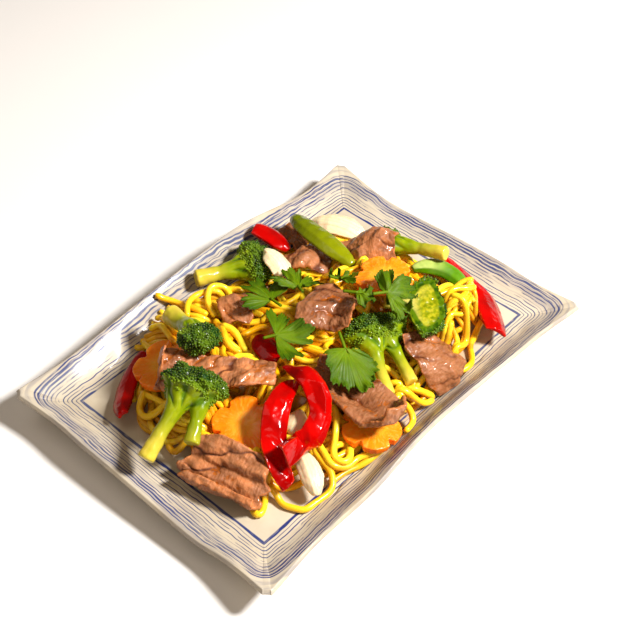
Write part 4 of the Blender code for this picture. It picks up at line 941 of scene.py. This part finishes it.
def with_buds(mesh, spots, size, seed, numbers):
    """The mesh with a small round bud set on each spot.  Numbers kept per point go along."""
    points, normals = get_points(mesh), get_normals(mesh)
    draw = np.random.default_rng(seed)
    out = normals[spots]
    across = np.cross(out, [0.3, 0.5, 0.81])
    across /= np.linalg.norm(across, axis=1)[:, None]
    other = np.cross(out, across)
    shape = np.array(BUD)
    radius = size * draw.uniform(0.75, 1.25, len(spots))
    tall = radius * draw.uniform(0.8, 2.0, len(spots))
    sideways = (shape[None, :, 0, None] * across[:, None] + shape[None, :, 1, None] * other[:, None])
    outwards = (shape[None, :, 2] * tall[:, None] - 0.15 * radius[:, None])[..., None] * out[:, None]
    made = points[spots][:, None] + (sideways * radius[:, None, None] + outwards)
    first = len(points) + len(BUD) * np.arange(len(spots))
    faces = (first[:, None, None] + np.array(BUD_FACES)[None]).reshape(-1, 3)
    whole = bpy.data.meshes.new(mesh.name)
    whole.from_pydata(np.vstack([points, made.reshape(-1, 3)]).tolist(), [],
                      [p.vertices[:] for p in mesh.polygons] + faces.tolist())
    for label, values in numbers.items():
        store(whole, label, np.concatenate([values, np.repeat(values[spots], len(BUD))]))
    store(whole, "bud", np.concatenate([np.zeros(len(points)), np.tile(BUD_TIP_HIGHLIGHT, len(spots))]))
    return whole


# %% [markdown]
# Each floret points its own way in plan, from the stem's cut end to the crown, and each has its
# own share of stem.  Under the crown the stem splits into branches, so its skin is ribbed there.
# The halved floret also shows a flat cut face: green near its rim, and mottled in paler yellow
# greens further in, where the branches were cut through.

# %% Florets
# Direction of each floret in plan, in degrees, and the share of its length where the crown begins
FLORETS = {"broccoli_right": (100, 0.66), "broccoli_left": (22, 0.66), "broccoli_centre": (62, 0.62),
           "broccoli_back_left": (-103, 0.62), "broccoli_back": (-28, 0.60), "broccoli_halved": (-50, 0.50)}


def flat_side(node):
    """Direction of a solid's largest flat side."""
    polygons = [(p.normal.copy(), p.area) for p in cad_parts[node].data.polygons]
    sizes = [sum(area for other, area in polygons if other.dot(normal) > 0.995) for normal, _ in polygons]
    return np.array(polygons[int(np.argmax(sizes))][0])


def floret(node):
    """A floret with a lumpy, budded crown on a smooth or ribbed stem."""
    heading, begin = FLORETS[node]
    mesh = fine_skin(node, 0.0006, 6)
    points, normals = get_points(mesh), get_normals(mesh)
    way = np.array([math.cos(math.radians(heading)), math.sin(math.radians(heading)), 0.0])
    side = np.array([-way[1], way[0], 0.0])
    along = points @ way
    along = (along - along.min()) / (along.max() - along.min())
    head = between(along + 0.04 * bumps(points, 150, 2), begin - 0.03, begin + 0.05)
    cut_face = between(normals @ flat_side(node), 0.90, 0.97) * (node == "broccoli_halved")
    crown = head * between(normals @ way + 0.50 * bumps(points, 150, 9), -0.95, -0.50) * (1 - cut_face)
    lumps = 0.80 * np.abs(bumps(points, 110, 5)) + 0.85 * np.abs(bumps(points, 240, 8))
    turn = np.arctan2(points[:, 2] - points[:, 2].mean(), (points - points.mean(0)) @ side)
    branches = np.abs(np.sin(3.5 * turn + 2.2 * bumps(points, 60, 4))) ** 0.7
    ribbed = between(along, begin - 0.22, begin) * (1 - crown) * (1 - cut_face)
    height = crown * 0.0034 * (lumps - 0.36) + ribbed * 0.0014 * (branches - 0.7)
    height += (1 - crown) * (1 - cut_face) * 0.00035 * bumps(points, 260, 6)
    height += cut_face * head * 0.0008 * bumps(points, 420, 7)
    set_points(mesh, points + normals * height[:, None])
    inner = between(neighbour_mean(mesh, cut_face, 60), 0.80, 1.0) * cut_face
    numbers = {"along": along, "head": crown, "cut": cut_face, "inner": inner,
               "below": between(-(normals @ way), -0.1, 0.6), "valley": 1 - between(lumps, 0.10, 0.55),
               "split": ribbed * (1 - branches)}
    spots = scatter_over(mesh, crown > 0.5, 0.00108, len(node))
    return with_buds(mesh, spots, 0.00070, len(node), numbers)


green = Look("broccoli", Coat_Weight=0.22, Coat_Roughness=0.08, Specular_IOR_Level=0.18)
# Painted shade in the valleys between clusters, and a painted highlight on each bud's tip.
crown = green.paint(srgb(22, 59, 0), ((75, 101, 0), green.noise(70.0, 3.0), 0.38, 0.66),
                    ((8, 30, 0), "valley", 0.2, 1.0, 0.0, 0.85),
                    ((120, 146, 4), "bud", 0.5, 1.0, 0.0, 0.45),
                    ((110, 136, 2), "below", 0.0, 1.0, 0.0, 0.6))
mottled = green.paint(srgb(112, 122, 2), ((158, 152, 20), green.noise(420.0, 4.0), 0.40, 0.62),
                      ((186, 176, 62), green.noise(110.0, 2.0), 0.50, 0.72, 0.0, 0.55),
                      ((204, 190, 108), "along", 0.42, 0.62, 0.55, 0.0))
face = green.paint(srgb(74, 102, 2), ((34, 66, 0), green.noise(300.0, 4.0), 0.42, 0.62))
face = green.mix(green.rise(green.number("inner"), 0.1, 0.9), face, mottled)
# Yellow at the cut end of the stem, and green towards the head
stalk = green.paint(srgb(214, 188, 66), ((122, 140, 2), "along", 0.02, 0.5),
                    ((162, 164, 22), green.noise(120.0, 3.0), 0.4, 0.7, 0.0, 0.5),
                    ((58, 96, 8), "split", 0.1, 0.6, 0.0, 0.8))
colour = green.mix(green.number("cut"), green.mix(green.number("head"), stalk, crown), face)
green.set(Base_Color=colour, Roughness=green.rise(green.number("head"), 0.0, 1.0, 0.28, 0.55))
green.bump(green.noise(900.0, 3.0), 0.0002, 0.4)
for node in FLORETS:
    piece = show(node + "_floret", floret(node), green.material, "broccoli", node)
    print(node, len(piece.data.polygons), "faces")

# %% [markdown]
# ## The carrots
# The slices were stamped as flowers, boiled and then fried.  Around a paler core, fine veins run
# outwards, and the rim of each petal is a little worn.  The veins follow the direction from the
# middle, which is kept in the mesh as two numbers.

# %% Carrots
def flower(node):
    """A carrot slice with faint veins, and its direction from the middle kept for the finish."""
    mesh = fine_skin(node, 0.0005, 5)
    points, normals = get_points(mesh), get_normals(mesh)
    flat, ways = own_frame(points)
    radius = np.hypot(flat[:, 0], flat[:, 1])
    size = radius.max()
    angle = np.arctan2(flat[:, 1], flat[:, 0])
    facing = np.abs(normals @ ways[2])
    veins = 0.00005 * np.sin(angle * 37 + 3 * bumps(points, 90, 3))
    veins = veins * between(radius / size, 0.25, 0.7) * facing
    set_points(mesh, points + normals * (veins + 0.00025 * bumps(points, 260, 4))[:, None])
    store(mesh, "radius", radius / size)
    store(mesh, "toward_x", flat[:, 0] / np.maximum(radius, 1e-5))
    store(mesh, "toward_y", flat[:, 1] / np.maximum(radius, 1e-5))
    store(mesh, "rim", 1 - between(facing, 0.3, 0.85))
    return mesh


carrot = Look("carrot", Coat_Weight=0.25, Coat_Roughness=0.08, Specular_IOR_Level=0.25,
              Subsurface_Weight=0.30, Subsurface_Scale=0.005)
way = carrot.vector(carrot.number("toward_x"), carrot.number("toward_y"),
                    carrot.math("MULTIPLY", carrot.number("radius"), 0.6))
rays = carrot.noise(9.0, 2.0, way, 0.5)
flesh = carrot.paint(srgb(255, 166, 40), ((255, 134, 16), "radius", 0.25, 0.6),
                     ((255, 188, 84), rays, 0.50, 0.66, 0.0, 0.35),
                     ((240, 104, 8), "rim", 0.0, 1.0, 0.0, 0.5))
sauced(carrot, flesh, carrot.math("MULTIPLY", rays, 0.4), 0.3, 0.30, 0.12, (226, 110, 10))
carrot.bump(carrot.math("ADD", rays, carrot.noise(600.0, 3.0)), 0.0002, 0.4)
show_kind("carrot", "_flower", flower, carrot, "carrot")

# %% [markdown]
# ## Peppers and the pea pod
# Pepper skin is smooth and glossy, while the inside is paler and duller.  The cut edges are paler
# than the skin on the red strips, and darker than it on the green one.  The inside of the green
# strip grows paler still towards one end.
# A cut edge is found from the surface itself: where the directions of neighbouring points differ
# most, the strip is turning from its outside to its inside.

# %% Strips of pepper
def strip_skin(node, inside_up=False, smooth=12):
    """A smooth strip that knows its edge, its length and breadth, and which side was outside."""
    mesh = fine_skin(node, 0.0005, smooth)
    points, normals = get_points(mesh), get_normals(mesh)
    edge = edge_share(mesh, normals)
    flat, _ = own_frame(points)
    along = (flat[:, 0] - flat[:, 0].min()) / np.ptp(flat[:, 0])
    height = 0.0003 * bumps(points, 110, 2) + 0.00008 * bumps(points, 500, 3)
    set_points(mesh, points + normals * height[:, None])
    store(mesh, "edge", edge)
    store(mesh, "along", along)
    store(mesh, "across", flat[:, 1] / (np.ptp(flat[:, 1]) / 2))
    outside = 1 - between(normals[:, 2], 0.45, 0.80) if inside_up else between(normals[:, 2], -0.15, 0.25)
    store(mesh, "outside", outside)
    return mesh


def pepper_look(name, skin, depth_shade, inside, edge_colour, *inside_coats):
    """Glossy skin in two tones, a duller inside with any coats of its own, and tinted cut edges."""
    look = Look(name, Coat_Weight=0.19, Coat_Roughness=0.06, Specular_IOR_Level=0.16)
    outer = look.paint(srgb(*skin), (depth_shade, look.noise(50.0, 2.0), 0.35, 0.65))
    inner = look.mix(look.rise(look.noise(130.0, 2.0), 0.4, 0.75, 0.0, 0.45),
                     look.paint(srgb(*inside), *inside_coats), outer)
    colour = look.mix(look.number("outside"), inner, outer)
    colour = look.paint(colour, (edge_colour, "edge", 0.3, 0.9, 0.0, 0.55))
    look.set(Base_Color=colour, Roughness=look.rise(look.number("outside"), 0.0, 1.0, 0.35, 0.16))
    look.bump(look.noise(620.0, 2.0), 0.0002, 0.30)
    return look


red = pepper_look("red_pepper", (182, 2, 1), (138, 1, 1), (200, 40, 10), (208, 46, 12))
show_kind("red_pepper", "_strip", strip_skin, red, "red_pepper")
rind = pepper_look("green_pepper", (78, 124, 2), (46, 94, 0), (88, 136, 8), (50, 92, 2),
                   ((168, 184, 92), "along", 0.35, 0.8))
show("green_pepper_strip", strip_skin("green_pepper_right", inside_up=True), rind.material,
     "green_pepper", "green_pepper_right")

# %% [markdown]
# The pod is a strip too.  Its peas press through as soft swellings along the middle, a pea's
# length apart.

# %% Pea pod
pod_mesh = strip_skin("snow_pea")
points, normals = get_points(pod_mesh), get_normals(pod_mesh)
PEA_SPACING = 0.0085
flat, _ = own_frame(points)
peas = np.cos(flat[:, 0] * 2 * np.pi / PEA_SPACING) * between(np.abs(flat[:, 1]), 0.0055, 0.0015)
set_points(pod_mesh, points + normals * (0.00016 * peas)[:, None])
pod = Look("pea_pod", Coat_Weight=0.3, Coat_Roughness=0.08, Specular_IOR_Level=0.25)
# Painted highlight: the pod's edges are painted lighter where a glossy line runs.
body = pod.paint(srgb(98, 110, 0), ((130, 136, 2), "along", 0.1, 0.9),
                 ((118, 130, 6), pod.noise(120.0, 3.0), 0.4, 0.7, 0.0, 0.20),
                 ((142, 148, 14), "edge", 0.3, 1.0, 0.0, 0.5))
pod.set(Base_Color=body, Roughness=pod.rise(pod.noise(300.0), 0.3, 0.7, 0.22, 0.36))
pod.bump(pod.noise(500.0, 3.0), 0.0002, 0.2)
show("pea_pod", pod_mesh, pod.material, "green_pepper", "snow_pea")

# %% [markdown]
# ## The onion
# Onion turns cream-white and glassy when fried.  Its layers show as faint ribs along each piece.

# %% Onion
RIB_SPACING = 0.0017


def layered(node):
    """A piece of onion with the faint ribs of its layers."""
    mesh = strip_skin(node, smooth=18)
    points, normals = get_points(mesh), get_normals(mesh)
    flat, _ = own_frame(points)
    ribs = 0.00003 * np.sin(flat[:, 1] * 2 * np.pi / RIB_SPACING)
    set_points(mesh, points + normals * ribs[:, None])
    return mesh


onion = Look("onion", Coat_Weight=0.35, Coat_Roughness=0.08, Subsurface_Weight=0.3, Subsurface_Scale=0.004)
ribs = onion.math("SINE", onion.math("MULTIPLY", onion.number("across"), 21.0))
white = onion.paint(srgb(242, 222, 180), ((222, 190, 128), ribs, 0.2, 1.0, 0.0, 0.3),
                    ((214, 172, 96), "edge", 0.4, 1.0, 0.0, 0.6))
onion.set(Base_Color=white, Roughness=onion.rise(onion.noise(200.0), 0.3, 0.7, 0.24, 0.4))
onion.bump(onion.noise(400.0, 3.0), 0.0002, 0.2)
show_kind("onion", "_layer", layered, onion, "onion")

# %% [markdown]
# ## The coriander
# A coriander leaf is thin and soft: three wedges that widen outwards and end in round teeth, or one
# broad fan, with veins that run out to the teeth.  The leaf is drawn in polar form from the point
# where the stalk meets it, because there each direction meets the edge once.  Then it is laid over
# the plain leaf of the solid, which already leans and droops the right way.

# %% Leaf outline
# Direction of each wedge from the leaf's middle line, in degrees, and its length
LOBES = ((0, 1.00), (69, 0.90), (-69, 0.90))
FAN_SPREAD = math.radians(74)
FAN_END = math.radians(74 + 22)
TOOTH = math.radians(19)


def scallops(angle, degrees, depth):
    """Round teeth with sharp notches between them, as a factor on the reach."""
    return 1 - depth * (1 - np.abs(np.cos(np.pi * angle / math.radians(degrees))) ** 0.6)


def leaf_reach(angle, seed, fan):
    """How far the leaf reaches in a direction, as a share of its size."""
    shift = 0.05 * np.sin(3 * angle + seed)
    if fan:
        blade = 1 - 0.45 * np.clip(np.abs(angle) / FAN_SPREAD, 0, 1) ** 2
        blade = blade * (1 - between(np.abs(angle), FAN_SPREAD, FAN_END)) + 0.10
    else:
        wedges = [length * np.exp(-(np.abs(angle - math.radians(way)) / math.radians(32)) ** 6)
                  for way, length in LOBES]
        blade = 0.14 + 0.86 * np.max(wedges, axis=0)
    uneven = 1 + 0.08 * np.sin(7.3 * angle + 2.1 * seed) + 0.05 * np.sin(17.1 * angle + seed)
    teeth = scallops(angle + shift, 19.0, 0.09 if fan else 0.22) * scallops(angle - 1.7 * shift, 6.1, 0.08)
    return blade * teeth * uneven


def vein_share(angle, reach):
    """1 on a vein and 0 between veins: veins run outwards from the stalk, one to each big tooth."""
    half = math.radians(9.5)
    nearest = np.abs(np.mod(angle + half, TOOTH) - half)
    main = np.exp(-(reach * nearest / (0.016 * (1.2 - np.clip(reach, 0, 1)))) ** 2)
    finer = np.abs(np.mod(angle * 3 + half, TOOTH) - half) / 3
    side = np.exp(-(reach * finer / 0.008) ** 2) * between(reach, 0.35, 0.6)
    return np.maximum(main, 0.5 * side)


# %% [markdown]
# The edge of a real leaf never lies still, so it rises and falls in slow waves that grow towards
# the rim.  Between the veins the blade is puffed up a little.  Thickness comes last, as a second
# face under the first.

# %% Leaves
# Direction of each leaf in plan, in degrees, from its stalk to its tip
LEAVES = {"coriander_front": -121, "coriander_centre": -33, "coriander_back": 85, "coriander_back_right": 60,
          "coriander_small": -60, "coriander_dark": -10, "coriander_right": -20}
FANS = ("coriander_front", "coriander_small")
STALK = 0.0085
STALK_RADIUS = 0.00055
STALK_RINGS = 9
STALK_SIDES = 6


def leaf(node, seed):
    """A toothed, veined leaf with a short stalk, laid over its plain solid."""
    heading = LEAVES[node]
    solid = solid_mesh(node)
    corners = get_points(solid)
    tree = BVHTree.FromPolygons([Vector(p) for p in corners], [p.vertices[:] for p in solid.polygons])
    ahead = np.array([math.cos(math.radians(heading)), math.sin(math.radians(heading))])
    left = np.array([-ahead[1], ahead[0]])
    down, side = corners[:, :2] @ ahead, corners[:, :2] @ left
    size = np.ptp(side) / 1.7
    angle = np.radians(np.linspace(-112, 112, 337))
    share = np.linspace(0.03, 1, 22)
    edge = leaf_reach(angle, seed, node in FANS)
    reach = share[:, None] * edge[None]
    turn = np.broadcast_to(angle, reach.shape)
    local = np.column_stack([(reach * np.cos(turn)).ravel(), (reach * np.sin(turn)).ravel()]) * size
    scale_down = (np.ptp(down) - STALK) / np.ptp(local[:, 0])
    scale_side = np.ptp(side) / np.ptp(local[:, 1])
    start = down.max() - local[:, 0].max() * scale_down
    middle = (side.max() + side.min()) / 2 - (local[:, 1].max() + local[:, 1].min()) / 2 * scale_side

    def place(x, y, lift):
        plan = (start + x * scale_down) * ahead + (middle + y * scale_side) * left
        hit = tree.ray_cast(Vector((*plan, 0.2)), Vector((0, 0, -1)))[0]
        if hit is None:
            hit = tree.find_nearest(Vector((*plan, corners[:, 2].max())))[0]
        return (*plan, hit.z + lift)

    veins = vein_share(turn, reach).ravel()
    away = np.repeat(share, len(angle)) ** 2
    wave = 0.06 * size * np.sin(4 * turn.ravel() + seed) * away
    wave = wave + 0.003 * size * np.sin(19 * turn.ravel()) * away
    lift = wave - 0.00005 * veins + 0.0003
    points = np.array([place(x, y, z) for (x, y), z in zip(local, lift)])
    columns = len(angle)
    grid = points.reshape(len(share), columns, 3)
    for _ in range(4):
        grid[1:-1, 1:-1, 2] = (grid[:-2, 1:-1, 2] + grid[2:, 1:-1, 2]
                               + grid[1:-1, :-2, 2] + grid[1:-1, 2:, 2]) / 4
    faces = [(r * columns + k, (r + 1) * columns + k, (r + 1) * columns + k + 1, r * columns + k + 1)
             for r in range(len(share) - 1) for k in range(columns - 1)]
    stalk_begin = grid[0, columns // 2] + [0, 0, 0.0002]
    stalk_line = np.linspace(stalk_begin, place(-STALK, 0, 0.0008), STALK_RINGS)
    ring = np.linspace(0, 2 * np.pi, STALK_SIDES, endpoint=False)
    round_it = (np.cos(ring)[None, :, None] * np.array([*left, 0])
                + np.sin(ring)[None, :, None] * np.array([0, 0, 1.0]))
    stalk_points = (stalk_line[:, None] + STALK_RADIUS * round_it).reshape(-1, 3)
    for r in range(STALK_RINGS - 1):
        here = len(points) + r * STALK_SIDES
        for k in range(STALK_SIDES):
            after = (k + 1) % STALK_SIDES
            faces.append((here + k, here + after, here + STALK_SIDES + after, here + STALK_SIDES + k))
    flat = bpy.data.meshes.new(node)
    flat.from_pydata(np.vstack([grid.reshape(-1, 3), stalk_points]).tolist(), [], faces)
    store(flat, "vein", np.concatenate([veins, np.ones(len(stalk_points))]))
    store(flat, "away", np.concatenate([away, np.zeros(len(stalk_points))]))
    return with_modifiers(flat, ("SOLIDIFY", {"thickness": 0.00035, "offset": -1.0}))


foliage = Look("coriander_leaf", Coat_Weight=0.03, Coat_Roughness=0.3, Specular_IOR_Level=0.14,
               Subsurface_Weight=0.1, Subsurface_Scale=0.001)
blade = foliage.paint(srgb(47, 77, 0), ((76, 100, 0), foliage.noise(80.0, 3.0), 0.35, 0.68),
                      ((104, 130, 0), "away", 0.0, 1.0, 0.40, 0.0),
                      ((122, 142, 8), "vein", 0.2, 1.0, 0.0, 0.15))
foliage.set(Base_Color=blade, Roughness=foliage.rise(foliage.noise(300.0), 0.3, 0.7, 0.46, 0.62))
foliage.bump(foliage.noise(700.0, 3.0), 0.0003, 0.5)
for seed, node in enumerate(LEAVES):
    piece = show(node + "_leaf", leaf(node, seed), foliage.material, "coriander_leaf", node)
print("leaves:", len(LEAVES), "of", len(piece.data.polygons), "faces each")

# %% [markdown]
# ## Floor, light and camera
# A pale, nearly neutral floor and three round lamps: a strong key in front to the right, which
# casts the shadow, a broad warm one high behind, and a weak one at the front left that opens up the
# dark sides.  The surroundings add a little warm light.  The camera looks down from the front left
# at about 46 degrees.

# %% Stage
floor_mesh = bpy.data.meshes.new("floor")
floor_mesh.from_pydata([(-3, -3, -0.0002), (3, -3, -0.0002), (3, 3, -0.0002), (-3, 3, -0.0002)], [],
                       [(0, 1, 2, 3)])
floor_look = Look("pale_floor", Roughness=0.6)
floor_tint = floor_look.mix(floor_look.noise(3.0), srgb(241, 238, 234), srgb(244, 241, 238))
floor_look.set(Base_Color=floor_tint)
floor_mesh.materials.append(floor_look.material)
floor = bpy.data.objects.new("floor", floor_mesh)
bpy.context.scene.collection.objects.link(floor)


def lamp(name, place, aim, size, power, colour):
    """A round lamp at a place, turned towards what it lights."""
    light = bpy.data.lights.new(name, "AREA")
    light.shape = "DISK"
    light.size = size
    light.energy = power
    light.color = colour
    made = bpy.data.objects.new(name, light)
    made.location = place
    made.rotation_euler = (Vector(aim) - Vector(place)).to_track_quat("-Z", "Y").to_euler()
    bpy.context.scene.collection.objects.link(made)
    print(name, "lamp,", power, "W")


lamp("key", (0.30, -0.57, 0.80), (0, 0, 0.02), 0.20, 22.0, (1.0, 0.98, 0.96))
lamp("sky", (-0.3, 0.5, 1.2), (0, 0, 0), 0.9, 2.3, (1.0, 0.89, 0.76))
lamp("front", (-0.62, -0.50, 0.75), (0, 0, 0.02), 0.5, 1.2, (1.0, 0.93, 0.84))
world = bpy.data.worlds.new("studio")
world.use_nodes = True
world.node_tree.nodes["Background"].inputs["Color"].default_value = (1.0, 0.75, 0.52, 1)
world.node_tree.nodes["Background"].inputs["Strength"].default_value = 0.12
bpy.context.scene.world = world

camera_data = bpy.data.cameras.new("camera")
camera_data.lens = 75.79
camera_data.sensor_width = 36
camera = bpy.data.objects.new("camera", camera_data)
right, up, forward = (Vector((0.66041, -0.74981, 0.04056)), Vector((0.52273, 0.49784, 0.69203)),
                      Vector((0.53908, 0.43582, -0.72073)))
turn = Matrix((right, up, -forward)).transposed().to_4x4()
camera.matrix_world = Matrix.Translation(Vector((-0.3965, -0.3272, 0.5775))) @ turn
bpy.context.scene.collection.objects.link(camera)
bpy.context.scene.camera = camera
bpy.context.scene.view_settings.view_transform = "Standard"
